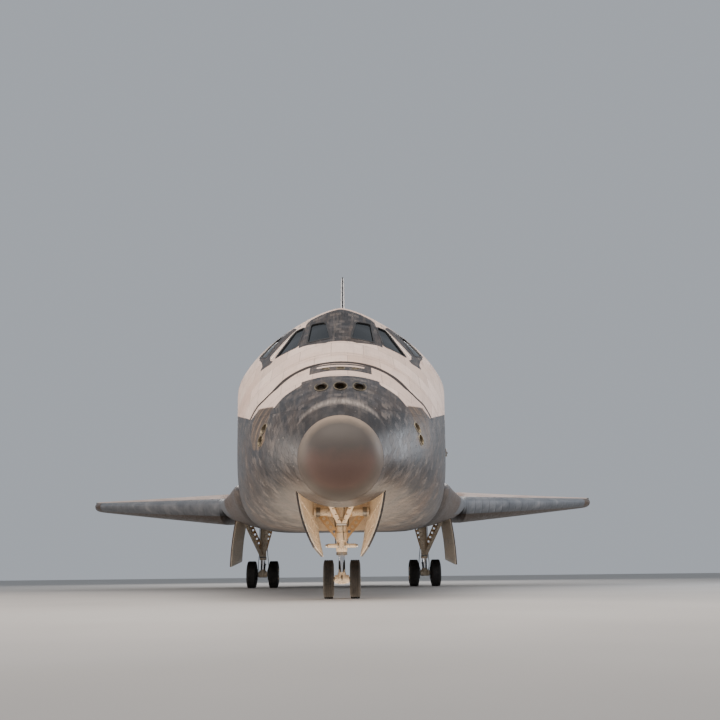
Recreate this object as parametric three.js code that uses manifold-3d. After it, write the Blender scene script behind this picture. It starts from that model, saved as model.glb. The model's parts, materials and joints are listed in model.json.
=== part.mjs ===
// A winged space shuttle standing on its landing gear.
// Millimetres, +Z up, nose towards -Y, port side towards +X, the floor at Z = 0.
// The airframe is drawn level, x to port, y aft of the nose tip and z above the load bay's centreline,
// and then pitched nose down as it parks. The wheels and legs are drawn upright on the floor.
import * as THREE from "three";
import { mergeVertices } from "three/addons/utils/BufferGeometryUtils.js";
import Module from "manifold-3d";

const wasm = await Module();
wasm.setup();

// How the airframe stands
const PARKED_PITCH = 3.85; // degrees, nose down
const NOSE_Y = -18274;
const BAY_AXIS_Z = 4156;
const SEAT = 0.3; // gap between touching pieces
const RUNNING_GAP = 10; // gap round pieces that move
const TINY = 1e-9; // a cosine or sine under this is nought

// Fuselage sections: distance aft of the nose tip, half width, heights of crown and keel, of the shoulder
// where the upper curve starts and of the widest level where the lower one does, and the curves' powers
const SECTIONS = [
  { aft: 610, half: 800, crown: -800, keel: -2400, shoulder: -1600, wide: -1600, over: 2.0, under: 2.0 },
  { aft: 1070, half: 1130, crown: -480, keel: -2510, shoulder: -1570, wide: -1570, over: 2.0, under: 2.05 },
  { aft: 1570, half: 1425, crown: -200, keel: -2630, shoulder: -1500, wide: -1500, over: 2.0, under: 2.15 },
  { aft: 2720, half: 1930, crown: 330, keel: -2855, shoulder: -1300, wide: -1300, over: 2.0, under: 2.6 },
  { aft: 3560, half: 2160, crown: 710, keel: -2965, shoulder: -1100, wide: -1100, over: 1.97, under: 3.1 },
  { aft: 4570, half: 2360, crown: 1325, keel: -3030, shoulder: -620, wide: -830, over: 1.74, under: 3.7 },
  { aft: 5510, half: 2490, crown: 1985, keel: -3060, shoulder: -130, wide: -540, over: 1.57, under: 4.4 },
  { aft: 6400, half: 2590, crown: 2550, keel: -3080, shoulder: 350, wide: -250, over: 1.45, under: 5.0 },
  { aft: 7160, half: 2650, crown: 2625, keel: -3095, shoulder: 550, wide: -50, over: 1.51, under: 5.5 },
  { aft: 7900, half: 2667, crown: 2625, keel: -3115, shoulder: 450, wide: 0, over: 1.65, under: 6.0 },
  { aft: 8740, half: 2680, crown: 2620, keel: -3140, shoulder: 0, wide: 0, over: 2.15, under: 6.5 },
  { aft: 16800, half: 2680, crown: 2620, keel: -3290, shoulder: 0, wide: 0, over: 2.2, under: 10 },
  { aft: 27150, half: 2680, crown: 2620, keel: -3380, shoulder: 0, wide: 0, over: 2.2, under: 12 },
  { aft: 33000, half: 2680, crown: 2560, keel: -3180, shoulder: 0, wide: 0, over: 2.2, under: 12 },
];
const CROWN_ANGLES = [0, 9.3, 22, 36, 50, 64, 77, 90, 103, 116, 130, 144, 158, 170.7, 180];
const KEEL_ANGLES = [180, 194, 208, 222, 236, 250, 270, 290, 304, 318, 332, 346, 360];

// Where one fuselage piece ends and the next begins, aft of the nose tip
const CAP_END = 610;
const NOSE_END = 4000;
const CABIN_END = 8740;
const BAY_END = 27150;
const BASE_FOOT = 32600; // aft face at the keel
const BASE_LEAN = 12; // degrees that the aft face leans forward

// Nose: thruster module on top, wheel well below
const MODULE = { from: 1000, to: 3560, floor: -620 };
const NOSE_WELL = { from: 1050, to: 3900, roof: -1750, frontHalf: 860, rearHalf: 560 };

// Cabin shell and its port windows: corners as x, aft, height on the skin and the way that each window faces
const WALL = 130;
const PANE = 30;
const CABIN_FRONT = 4200;
const WINDOWS = [
  {
    corners: [[370, 5680, 2040], [755, 5820, 2040], [810, 4900, 1410], [245, 4820, 1460]],
    faces: [0.25, -0.55, 0.8],
  },
  {
    corners: [[930, 5830, 1980], [1150, 5930, 1860], [1600, 5120, 1060], [1020, 4960, 1270]],
    faces: [0.6, -0.45, 0.66],
  },
  {
    corners: [[1400, 6250, 1750], [1530, 6700, 1700], [1900, 6450, 1150], [1720, 5750, 1080]],
    faces: [0.8, -0.2, 0.56],
  },
  {
    corners: [[180, 7050, 2580], [640, 7050, 2540], [640, 7500, 2540], [180, 7500, 2590]],
    faces: [0.1, 0, 1],
  },
];
const DECK = { from: 4700, to: 8430, top: 420, thick: 70 };
const LADDER_HOLE = { x: [450, 1150], aft: [7000, 7700] }; // the way up from the lower deck
const PANEL = { from: 5000, to: 5350, half: 1000, height: 580 };
const CREW_SEAT = { x: 620, from: 5900, width: 520, depth: 560, rise: 380, back: 1150, thick: 130 };
const HATCH = {
  side: 2620, // x of the skin there
  aft: 6782,
  height: -635,
  radius: 508,
  taper: 30,
  gap: 6,
  pin: 24,
  clear: 30,
  reach: 120,
  lug: 70,
};

// Load bay and its doors
const BAY_RADIUS = 2360;
const DOOR_THICK = 140;
const SILL = 500; // height of the door hinges
const DOOR_PINS = [9600, 13400, 17200, 21000, 24800];
const DOOR_PIN = { radius: 22, clear: 27, barrel: 260, lug: 90 };

// Wing outline: the glove runs from the fuselage to the kink, then the wing sweeps at 45 degrees to the tip
const DIHEDRAL = Math.tan(THREE.MathUtils.degToRad(5.2)); // of the lower surface
const GLOVE = { out: 2667, aft: 6400, perInboard: 1.5 };
const KINK = { out: 4826, aft: 20015 };
const TIP_START = { out: 11176, aft: 26365 };
const TIP = { out: 11896, aft: 28880 };
const ROOT_OUT = 2350;
const EDGE_START = 3950; // where the hard leading edge begins
const EDGE_DEPTH = 330; // of the hard leading edge, square to it
const HINGE_AFT = 29185;
const TRAIL = { aft: 32694, per: 0.17733 }; // trailing edge on the centreline, and its run forward outboard
const TRAIL_THICK = 50;
const WING_LIFT = 60; // lower surface above the keel at the side of the fuselage
const ROOT_CREST = 23200;
const TIP_CREST = 28300;
// Thickness, height of the leading edge over the lower surface, how far the nose's curve runs square to the
// edge, and half the thickness at the hinge
const THICKNESS = [
  { out: 2350, thick: 1500, nose: 1000, round: 2000, hinge: 306 },
  { out: 4826, thick: 1300, nose: 800, round: 2000, hinge: 257 },
  { out: 11176, thick: 530, nose: 310, round: 1000, hinge: 133 },
  { out: 11896, thick: 430, nose: 240, round: 700, hinge: 119 },
];

// Elevons: inboard and outboard ends, and the places of the hinge ribs
const ELEVONS = [
  { name: "inboard_elevon", from: 2810, to: 7899, ribs: [3100, 5350, 7550] },
  { name: "outboard_elevon", from: 7950, to: 11354, ribs: [8200, 9650, 11050] },
];
const RIB_WIDTH = 110;
const UPPER_LIP = 0.6; // how far ahead of the hinge the wing's skin ends, in nose radii
const LOWER_LIP = 0.36;

// Main gear wells, in the wing
const MAIN_WELL = { from: 20400, to: 24300, inner: 2900, outer: 4230, roof: -2330 };

// Fin, with its hinge line, in the plane of symmetry
const FIN_ROOT = { height: 2500, lead: 26351, hinge: 30475, trail: 33217 };
const FIN_TIP = { height: 10635, lead: 34493, hinge: 36144, trail: 37236 };
const FIN_FRONT = { foot: 27210, top: 27900, topHeight: 4049 };
const FIN_SKIRT = { aft: 31200, height: 2600, rise: 0.25 }; // underside of the fin behind the fuselage
const RUDDER = { foot: 4597, top: 9703, footHalf: 200, topHalf: 110, trailHalf: 55 };
const RUDDER_CORE = 0.9; // of the fin's half thickness
const RUDDER_GAP = 20;
const RUDDER_FRONT = -90;

// Body flap
const FLAP = { aft: 32970, height: -2870, half: 3050, radius: 225, chord: 2060 };
const FLAP_RIBS = [-2300, -800, 800, 2300];

// Engines: gimbal point, pitch up and splay outward in degrees, and the bell
const MAIN_ENGINES = [
  { name: "main_engine_top", x: 0, aft: 30658, height: 1092, pitch: 16, splay: 0 },
  { name: "main_engine_left", x: 1346, aft: 31242, height: -1458, pitch: 10, splay: 3.5 },
  { name: "main_engine_right", x: -1346, aft: 31242, height: -1458, pitch: 10, splay: -3.5 },
];
const BELL_EXIT = 3990; // from the gimbal
const BELL = [[1300, 300], [1700, 560], [2300, 810], [3100, 1010], [BELL_EXIT, 1150]];
const BELL_WALL = 60;
const BELL_COLLAR = { from: 300, to: 1000, radius: 800 };

// Manoeuvring pods and their bells
const POD = [
  { aft: 27320, x: 1500, height: 1500, half: 350, tall: 500 },
  { aft: 28200, x: 1800, height: 1760, half: 880, tall: 1150 },
  { aft: 29600, x: 1930, height: 1900, half: 1110, tall: 1400 },
  { aft: 31500, x: 1960, height: 1900, half: 1120, tall: 1400 },
  { aft: 33200, x: 2050, height: 2000, half: 860, tall: 1020 },
];
const POD_SIDES = 16;
const POD_BELL = { x: 2200, aft: 33200, height: 2250, throat: 200, exit: 550, length: 1400, wall: 45 };

// Nose gear, upright on the floor
const NOSE_LEG = { y: -14660, radius: 110, foot: 960, top: 2450, arms: 1250, beam: 1800, beamRadius: 90 };
const NOSE_PISTON = { radius: 72, fork: 150 };
const NOSE_WHEEL = { radius: 405, width: 224, apart: 280, rim: 205, axle: 48 };
const NOSE_BRACE = { y: -15900, z: 2250, foot: 1550, beamRadius: 55 };

// Main gear, upright on the floor
const MAIN_LEG = { x: 3455, y: 5690, radius: 135, top: 3300, arms: 1600, beam: 2870, beamRadius: 110 };
const MAIN_WHEEL = { radius: 565, width: 410, apart: 465, rim: 270, axle: 75 };
const MAIN_BRACE = { y: 3300, z: 2800, foot: 1300 };
const WHEEL_SIDES = 20;

// Gear doors: corners as x, aft, height of the hinge and free edges, at the front and the rear.
// The nose door's hinge edge lies on the side wall of its well, so its x is worked out from that.
const NOSE_DOOR = {
  from: 1080,
  to: 3870,
  hinge: [-2170, -2880],
  edge: [[530, -3250], [450, -3554]],
  bulge: [60, 15],
  thick: 65,
};
const MAIN_DOOR = {
  hinge: [[4262, 20420, -2800], [4262, 24280, -2900]],
  edge: [[4470, 20420, -4680], [4470, 24280, -4680]],
  bulge: [40, 40],
  thick: 80,
};

// Small tools for shapes

const degrees = THREE.MathUtils.degToRad;
const point = (x, y, z) => new THREE.Vector3(x, y, z);
const mix = THREE.MathUtils.lerp;

// Interpolates a table row's named column smoothly, never past its neighbours
function smooth(table, along, column, place) {
  const x = table.map((row) => row[along]);
  const y = table.map((row) => row[column]);
  const last = x.length - 2;
  const slope = (i) => (y[i + 1] - y[i]) / (x[i + 1] - x[i]);
  const tangent = (i) => {
    if (i === 0) return slope(0);
    if (i > last) return slope(last);
    const before = slope(i - 1);
    const after = slope(i);
    if (before * after <= 0) return 0;
    const a = 2 * (x[i + 1] - x[i]) + (x[i] - x[i - 1]);
    const b = x[i + 1] - x[i] + 2 * (x[i] - x[i - 1]);
    return (a + b) / (a / before + b / after);
  };
  let i = 0;
  while (i < last && place > x[i + 1]) i += 1;
  const span = x[i + 1] - x[i];
  const t = (place - x[i]) / span;
  const u = 1 - t;
  return (
    y[i] * u * u * (1 + 2 * t) +
    tangent(i) * span * t * u * u +
    y[i + 1] * t * t * (1 + 2 * u) -
    tangent(i + 1) * span * t * t * u
  );
}

// Turns a closed three.js geometry into a solid, facing out
function solidOf(geometry) {
  const bare = geometry.index ? geometry.toNonIndexed() : geometry.clone();
  bare.deleteAttribute("normal");
  bare.deleteAttribute("uv");
  const merged = mergeVertices(bare, 1e-3);
  const position = merged.getAttribute("position");
  const index = merged.index.array;
  const corner = [point(), point(), point()];
  const faces = [];
  let volume = 0;
  for (let i = 0; i < index.length; i += 3) {
    const face = [index[i], index[i + 1], index[i + 2]];
    if (face[0] === face[1] || face[1] === face[2] || face[2] === face[0]) continue;
    corner.forEach((c, k) => c.fromBufferAttribute(position, face[k]));
    volume += corner[0].dot(corner[1].clone().cross(corner[2]));
    faces.push(face);
  }
  if (volume < 0) faces.forEach((face) => face.reverse());
  return new wasm.Manifold(
    new wasm.Mesh({ numProp: 3, vertProperties: position.array, triVerts: new Uint32Array(faces.flat()) }),
  );
}

function geometryOf(solid) {
  const mesh = solid.getMesh();
  return new THREE.BufferGeometry()
    .setAttribute("position", new THREE.BufferAttribute(mesh.vertProperties, 3))
    .setIndex(new THREE.BufferAttribute(mesh.triVerts, 1));
}

const joined = (...solids) => solids.reduce((a, b) => a.add(b));
const without = (solid, ...tools) => tools.reduce((a, b) => a.subtract(b), solid);

// A solid skinned over rings that have the same number of points, each end closed by a fan
function loft(rings) {
  const count = rings[0].length;
  const middle = (ring) => ring.reduce((sum, p) => sum.add(p), point(0, 0, 0)).divideScalar(count);
  const points = [...rings.flat(), middle(rings[0]), middle(rings[rings.length - 1])];
  const faces = [];
  for (let r = 0; r + 1 < rings.length; r += 1) {
    for (let i = 0; i < count; i += 1) {
      const a = r * count + i;
      const b = r * count + ((i + 1) % count);
      const [c, d] = [b + count, a + count];
      const rising = points[a].distanceTo(points[c]) < points[b].distanceTo(points[d]);
      faces.push(...(rising ? [a, b, c, a, c, d] : [a, b, d, b, c, d]));
    }
  }
  const lastRing = (rings.length - 1) * count;
  for (let i = 0; i < count; i += 1) {
    const j = (i + 1) % count;
    faces.push(points.length - 2, j, i, points.length - 1, lastRing + i, lastRing + j);
  }
  return solidOf(new THREE.BufferGeometry().setFromPoints(points).setIndex(faces));
}

function box(x, y, z) {
  const geometry = new THREE.BoxGeometry(x[1] - x[0], y[1] - y[0], z[1] - z[0]);
  return solidOf(geometry.translate((x[0] + x[1]) / 2, (y[0] + y[1]) / 2, (z[0] + z[1]) / 2));
}

// A body turned round the line from one point to another, from pairs of distance along it and radius
function turned(from, to, profile, sides, turn = 0) {
  const outline = profile.map(([along, radius]) => new THREE.Vector2(radius, along));
  const geometry = new THREE.LatheGeometry(outline, sides, turn);
  const direction = to.clone().sub(from).normalize();
  geometry.applyQuaternion(new THREE.Quaternion().setFromUnitVectors(point(0, 1, 0), direction));
  return solidOf(geometry.translate(from.x, from.y, from.z));
}

function rod(from, to, radius, sides = 12, endRadius = radius) {
  const length = from.distanceTo(to);
  return turned(from, to, [[0, 0], [0, radius], [length, endRadius], [length, 0]], sides);
}

const mirrored = (solid) => solid.mirror([1, 0, 0]);

// Fuselage

function sectionPoint(aft, angle, inset, above) {
  const column = (name) => smooth(SECTIONS, "aft", name, aft);
  const exact = (value) => (Math.abs(value) < TINY ? 0 : value);
  const c = exact(Math.cos(degrees(angle)));
  const s = exact(Math.sin(degrees(angle)));
  const power = 2 / column(above ? "over" : "under");
  const level = column(above ? "shoulder" : "wide");
  const reach = above ? column("crown") - inset - level : column("keel") + inset - level;
  const x = (column("half") - inset) * Math.sign(c) * Math.abs(c) ** power;
  return point(x, aft, level + reach * Math.abs(s) ** power);
}

function sectionRing(aft, inset) {
  const part = (angles, above) => angles.map((angle) => sectionPoint(aft, angle, inset, above));
  return [...part(CROWN_ANGLES, true), ...part(KEEL_ANGLES, false)];
}

function fuselage(from, to, inset = 0, between = []) {
  const places = [from, ...between.filter((aft) => aft > from && aft < to), to];
  return loft(places.map((aft) => sectionRing(aft, inset)));
}

const NOSE_RINGS = [830, 1070, 1570, 2100, 2720, 3560];
const CABIN_RINGS = [4570, 5100, 5510, 5950, 6400, 6800, 7160, 7900];
const BAY_RINGS = [11500, 16800];
const AFT_RINGS = [30000, 33000];

function noseCap() {
  const base = SECTIONS[0];
  const rings = [12, 60, 150, 290, 440, CAP_END - SEAT].map((aft) => {
    const radius = base.half * Math.sqrt(1 - ((CAP_END - aft) / CAP_END) ** 2);
    return [...CROWN_ANGLES, ...KEEL_ANGLES].map((angle) =>
      point(radius * Math.cos(degrees(angle)), aft, base.wide + radius * Math.sin(degrees(angle))),
    );
  });
  return loft(rings);
}

function moduleBlock(gap) {
  return box([-3000, 3000], [MODULE.from - gap, MODULE.to + gap], [MODULE.floor - gap, 3000]);
}

// The nose wheel well narrows aft, and its doors hang from its side walls
const wellHalf = (aft) =>
  mix(NOSE_WELL.frontHalf, NOSE_WELL.rearHalf, (aft - NOSE_WELL.from) / (NOSE_WELL.to - NOSE_WELL.from));

function noseSection() {
  const { from, to, roof } = NOSE_WELL;
  const below = -4000;
  const ring = (aft) => {
    const half = wellHalf(aft);
    const wide = [-half, half];
    return [...wide.map((x) => point(x, aft, below)), ...wide.reverse().map((x) => point(x, aft, roof))];
  };
  return without(
    fuselage(CAP_END, NOSE_END - SEAT, 0, NOSE_RINGS),
    moduleBlock(0),
    loft([ring(from), ring(to)]),
  );
}

function thrusterModule() {
  return fuselage(CAP_END + 1, NOSE_END - 1, 0, NOSE_RINGS).intersect(moduleBlock(-SEAT));
}

// The tapered plug of the crew hatch, across the port wall
function hatchPlug(gap) {
  const axis = (x) => point(x, HATCH.aft, HATCH.height);
  const outer = HATCH.radius - gap;
  const profile = [
    [0, 0],
    [0, outer - 2 * HATCH.taper],
    [2 * WALL, outer],
    [3 * WALL, outer + HATCH.taper],
    [3 * WALL, 0],
  ];
  return turned(axis(HATCH.side - 2 * WALL), axis(HATCH.side), profile, 24);
}

function windowTool({ corners, faces }) {
  const way = point(...faces).normalize();
  const ring = (reach) => corners.map((corner) => point(...corner).addScaledVector(way, reach));
  return loft([ring(-420), ring(260)]);
}

const HATCH_PIN_X = HATCH.side + HATCH.clear;
const hatchAxis = (aft) => point(HATCH_PIN_X, aft, HATCH.height - HATCH.radius - 8);

function hatchLugs() {
  const { z } = hatchAxis(0);
  const lug = (from) =>
    joined(
      rod(hatchAxis(from), hatchAxis(from + HATCH.lug), HATCH.pin),
      box([HATCH.side - 60, HATCH_PIN_X], [from, from + HATCH.lug], [z - 90, z]),
    );
  return joined(lug(HATCH.aft - HATCH.reach - HATCH.lug), lug(HATCH.aft + HATCH.reach));
}

// The hatch, with the strap that runs from its foot to its pin
function crewHatch(outer, inner) {
  const reach = HATCH.reach - SEAT;
  const along = [HATCH.aft - reach, HATCH.aft + reach];
  const { z } = hatchAxis(0);
  const strapTop = z + 120;
  return joined(
    outer.subtract(inner).intersect(hatchPlug(HATCH.gap)),
    box([HATCH.side + 6, HATCH_PIN_X], along, [z, strapTop]),
    box([HATCH.side - 40, HATCH_PIN_X], along, [z + 50, strapTop]),
    rod(hatchAxis(along[0]), hatchAxis(along[1]), HATCH.pin),
  );
}

// The cabin shell and what is inside it
function cabin() {
  const outer = fuselage(NOSE_END, CABIN_END - SEAT, 0, CABIN_RINGS);
  const room = (inset) => fuselage(CABIN_FRONT, CABIN_END - WALL - 170, inset, CABIN_RINGS);
  const inner = room(WALL);
  const tools = WINDOWS.map(windowTool);
  const shell = joined(
    without(outer, inner, ...tools, ...tools.map(mirrored), hatchPlug(0)),
    hatchLugs(),
  );
  const glassZone = joined(
    box([-2300, 2300], [4700, 6700], [880, 3000]),
    box([-800, 800], [6690, 7650], [1500, 3000]),
  );
  const glass = room(WALL + SEAT).subtract(fuselage(CABIN_FRONT + 20, 8430, WALL + PANE, CABIN_RINGS))
    .intersect(glassZone);
  const levels = [DECK.top - DECK.thick, DECK.top];
  const deck = room(WALL + SEAT)
    .intersect(box([-3000, 3000], [DECK.from, DECK.to], levels))
    .subtract(box(LADDER_HOLE.x, LADDER_HOLE.aft, levels.map((level, i) => level + (i ? 10 : -10))));
  return { shell, glass, deck, hatch: crewHatch(outer, inner) };
}

function instrumentPanel() {
  const { from, to, half, height } = PANEL;
  const foot = DECK.top + SEAT;
  const side = (x) => [
    point(x, from, foot),
    point(x, to - 60, foot),
    point(x, to - 120, foot + height * 0.5),
    point(x, to - 60, foot + height * 0.9),
    point(x, to, foot + height),
    point(x, from + 40, foot + height - 30),
  ];
  return loft([side(-half), side(half)]);
}

function crewSeat(x) {
  const { from, width, depth, rise, back, thick } = CREW_SEAT;
  const foot = DECK.top + SEAT;
  const across = [x - width / 2, x + width / 2];
  return joined(
    box([x - 150, x + 150], [from + 80, from + depth - 40], [foot, foot + rise]),
    box(across, [from, from + depth], [foot + rise - 1, foot + rise + thick]),
    box(across, [from + depth - thick, from + depth], [foot + rise, foot + back]),
  );
}

// Load bay

// Hinge barrels for a door and lugs for its sill, on the port side
function doorHinges(barrels) {
  const { radius, clear, barrel, lug } = DOOR_PIN;
  const side = sectionPoint(16800, CROWN_ANGLES[1], 0, true).x;
  const axis = (aft) => point(side + clear, aft, SILL);
  const half = barrel / 2;
  return DOOR_PINS.map((aft) => {
    if (barrels) {
      const ends = [aft - half + SEAT, aft + half - SEAT];
      return joined(
        rod(axis(ends[0]), axis(ends[1]), radius, 8),
        box([side - 60, side + clear], ends, [SILL, SILL + 90]).subtract(
          box([side - 100, side + clear], [0, 40000], [SILL - 10, SILL + RUNNING_GAP])
            .intersect(box([0, side], [0, 40000], [0, 2000])),
        ),
      );
    }
    return [[-half - lug, -half], [half, half + lug]]
      .map(([from, to]) =>
        joined(
          rod(axis(aft + from), axis(aft + to), radius, 8),
          box([side - 60, side + clear], [aft + from, aft + to], [SILL - 110, SILL]),
        ),
      )
      .reduce((a, b) => a.add(b));
  }).reduce((a, b) => a.add(b));
}

function bayChannel() {
  const hollow = [0, 15, 30, 45, 60, 75, 90, 105, 120, 135, 150, 165, 180].map((angle) =>
    point(BAY_RADIUS * Math.cos(degrees(angle)), 0, -BAY_RADIUS * Math.sin(degrees(angle))),
  );
  const ring = (aft) => [
    ...hollow.map((p) => point(p.x, aft, p.z)),
    point(-BAY_RADIUS, aft, 3000),
    point(BAY_RADIUS, aft, 3000),
  ];
  const lugs = doorHinges(false);
  return joined(
    without(
      fuselage(CABIN_END, BAY_END - SEAT, 0, BAY_RINGS),
      loft([ring(8000), ring(28000)]),
      box([-3000, 3000], [8000, 28000], [SILL, 3000]),
    ),
    lugs,
    mirrored(lugs),
  );
}

function bayDoor() {
  const from = CABIN_END + RUNNING_GAP;
  const to = BAY_END - RUNNING_GAP;
  const panel = fuselage(from, to, 0, BAY_RINGS)
    .subtract(fuselage(from - 100, to + 100, DOOR_THICK, BAY_RINGS))
    .intersect(box([RUNNING_GAP / 2, 3000], [0, 40000], [SILL + RUNNING_GAP, 3000]));
  return joined(panel, doorHinges(true));
}

// Aft fuselage with its leaning base, taken larger by a gap where it cuts its neighbours
function aftBody(gap) {
  const lean = Math.tan(degrees(BASE_LEAN));
  const block = fuselage(BAY_END - gap, 34000, -gap, AFT_RINGS);
  const cut = (x) => [
    point(x, BASE_FOOT + gap, -3600),
    point(x, BASE_FOOT + gap + 6000 * -lean, 2400),
    point(x, BASE_FOOT + gap + 8000 * -lean, 4400),
    point(x, 36000, 4400),
    point(x, 36000, -3600),
  ];
  return block.subtract(loft([cut(-4000), cut(4000)]));
}

function flapNose(from, to, extra, turn) {
  const radius = FLAP.radius + extra;
  const axis = (x) => point(x, FLAP.aft, FLAP.height);
  const length = to - from;
  return turned(axis(from), axis(to), [[0, 0], [0, radius], [length, radius], [length, 0]], 24, turn);
}

const HALF_STEP = Math.PI / 24;
const seatRadius = (radius) => (radius + SEAT) / Math.cos(HALF_STEP);

function aftFuselage() {
  const reach = [BASE_FOOT - 300, FLAP.aft - FLAP.radius * 0.55];
  const levels = [FLAP.height - 150, FLAP.height + 160];
  const ribs = FLAP_RIBS.map((x) => box([x - 90, x + 90], reach, levels));
  const bearing = flapNose(-2600, 2600, seatRadius(FLAP.radius) - FLAP.radius, HALF_STEP);
  return joined(aftBody(0), joined(...ribs).subtract(bearing));
}

function bodyFlap() {
  const { aft, height, half, radius, chord } = FLAP;
  const ring = (x) => {
    const nose = [];
    for (let step = 0; step <= 12; step += 1) {
      const angle = degrees(90 + 15 * step);
      nose.push(point(x, aft + radius * Math.cos(angle), height + radius * Math.sin(angle)));
    }
    return [...nose, point(x, aft + chord, height - 60), point(x, aft + chord, height - 20)];
  };
  return loft([ring(-half), ring(half)]);
}

// Wings

const wingColumn = (column, out) => {
  const rows = THICKNESS;
  const i = Math.min(rows.findLastIndex((row) => out >= row.out), rows.length - 2);
  return mix(rows[i][column], rows[i + 1][column], (out - rows[i].out) / (rows[i + 1].out - rows[i].out));
};
// The hinge line is straight, so the half thickness there is one straight run from root to tip
const hingeHalf = (out) =>
  mix(THICKNESS[0].hinge, THICKNESS[3].hinge, (out - ROOT_OUT) / (TIP.out - ROOT_OUT));
const wingKeel = (out, aft) =>
  smooth(SECTIONS, "aft", "keel", aft) + WING_LIFT + DIHEDRAL * (out - SECTIONS[9].half);
const trailAft = (out) => TRAIL.aft - TRAIL.per * out;

function leadAft(out) {
  if (out < GLOVE.out) return GLOVE.aft + GLOVE.perInboard * (out - GLOVE.out);
  if (out < KINK.out) return mix(GLOVE.aft, KINK.aft, (out - GLOVE.out) / (KINK.out - GLOVE.out));
  if (out < TIP_START.out) return mix(KINK.aft, TIP_START.aft, (out - KINK.out) / (TIP_START.out - KINK.out));
  const beyond = out - TIP_START.out;
  const span = TIP.out - TIP_START.out;
  const round = TIP.aft - TIP_START.aft - span;
  return TIP_START.aft + beyond + round * (1 - Math.sqrt(1 - Math.min(1, beyond / span) ** 2));
}

// Distance square to the leading edge per length aft
const sweepShare = (out) => (out < KINK.out ? 0.1565 : Math.SQRT1_2);

function noseCurve(depth, length) {
  const t = Math.min(1, Math.max(0, depth) / length);
  return Math.sqrt(1 - (1 - t) ** 2);
}

// Heights of the wing's lower and upper surface
function wingSurface(out, aft, share) {
  const lead = leadAft(out);
  const thick = wingColumn("thick", out);
  const nose = wingColumn("nose", out);
  const crest = mix(ROOT_CREST, TIP_CREST, (out - ROOT_OUT) / (TIP.out - ROOT_OUT));
  const curve = noseCurve((aft - lead) * share, wingColumn("round", out));
  const keel = wingKeel(out, aft);
  const lower = keel + nose * (1 - curve);
  const half = hingeHalf(out);
  if (aft > HINGE_AFT) {
    const t = (aft - HINGE_AFT) / (trailAft(out) - HINGE_AFT);
    const axis = wingKeel(out, HINGE_AFT) + half;
    return [axis - mix(half, TRAIL_THICK / 2, t), axis + mix(half, TRAIL_THICK / 2, t)];
  }
  if (aft > crest) {
    const t = (aft - crest) / (HINGE_AFT - crest);
    const last = wingKeel(out, HINGE_AFT);
    return [mix(lower, last, t), mix(keel + thick, last + 2 * half, t ** 1.5)];
  }
  const rise = nose * 0.5;
  const t = Math.min(1, (aft - lead) / (crest - lead));
  return [lower, keel + nose + rise * curve + (thick - nose - rise) * (1 - (1 - t) ** 2)];
}

// One wing section, upper side from front to trailing edge and lower side back again
function wingRing(out, start, share) {
  const lead = leadAft(out);
  const first = lead + start / share;
  const crest = mix(ROOT_CREST, TIP_CREST, (out - ROOT_OUT) / (TIP.out - ROOT_OUT));
  const places = [0.02, 0.07, 0.22, 0.5].map((t) => mix(first, crest, t));
  const aft = [...places, crest, mix(crest, HINGE_AFT, 0.5), HINGE_AFT, trailAft(out)];
  const top = aft.map((place) => point(out, place, wingSurface(out, place, share)[1]));
  const bottom = aft.map((place) => point(out, place, wingSurface(out, place, share)[0])).reverse();
  const front = wingSurface(out, first, share)
    .slice(0, start > 0 ? 2 : 1)
    .map((height) => point(out, first, height));
  return [...front, ...top, ...bottom];
}

function edgeRing(out, share, depth) {
  const lead = leadAft(out);
  const places = [0.03, 0.12, 0.4, 1].map((t) => lead + (t * depth) / share);
  const top = places.map((place) => point(out, place, wingSurface(out, place, share)[1]));
  const bottom = places.map((place) => point(out, place, wingSurface(out, place, share)[0])).reverse();
  return [point(out, lead, wingSurface(out, lead, share)[0]), ...top, ...bottom];
}

const KINK_OUTS = [4740, 4900];
const shareAt = (out) => {
  const t = Math.min(1, Math.max(0, (out - KINK_OUTS[0]) / (KINK_OUTS[1] - KINK_OUTS[0])));
  return mix(sweepShare(KINK_OUTS[0]), sweepShare(KINK_OUTS[1]), t);
};
const EDGE_OUTS = [EDGE_START, ...KINK_OUTS, 6500, 8800, TIP_START.out];

// The elevons' hinge line, and a point in the plane square to it, c aft of it and h above it
const hingeLine = (out) => point(out, HINGE_AFT, wingKeel(out, HINGE_AFT) + hingeHalf(out));

function hingePoint(out, c, h) {
  const run = hingeLine(TIP.out).sub(hingeLine(ROOT_OUT));
  const up = point(-run.z, 0, run.x).normalize();
  return hingeLine(out).addScaledVector(up, h).add(point(0, c, 0));
}

// Space for the elevons: everything behind the wing's lips, then the round cove with its hinge ribs
function elevonSpace() {
  const last = ELEVONS[1].to + RUNNING_GAP;
  const ring = (out) => [
    hingePoint(out, -UPPER_LIP * hingeHalf(out), 900),
    hingePoint(out, -LOWER_LIP * hingeHalf(out), -900),
    hingePoint(out, 5000, -900),
    hingePoint(out, 5000, 900),
  ];
  const cone = (from, to, radius) => {
    const ends = [hingePoint(from, 0, 0), hingePoint(to, 0, 0)];
    const length = ends[0].distanceTo(ends[1]);
    const profile = [[0, 0], [0, radius(from)], [length, radius(to)], [length, 0]];
    return turned(ends[0], ends[1], profile, 24, HALF_STEP);
  };
  const ribs = ELEVONS.flatMap((elevon) => elevon.ribs);
  const stops = [ROOT_OUT - 200, ...ribs.flatMap((rib) => [rib, rib + RIB_WIDTH]), last];
  const coves = stops.slice(1).map((to, i) =>
    cone(stops[i] - 0.1, to, (out) =>
      i % 2 === 0 ? hingeHalf(out) + RUNNING_GAP + 5 : seatRadius(hingeHalf(out))));
  return joined(loft([ring(ROOT_OUT - 200), ring(last)]), ...coves);
}

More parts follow.
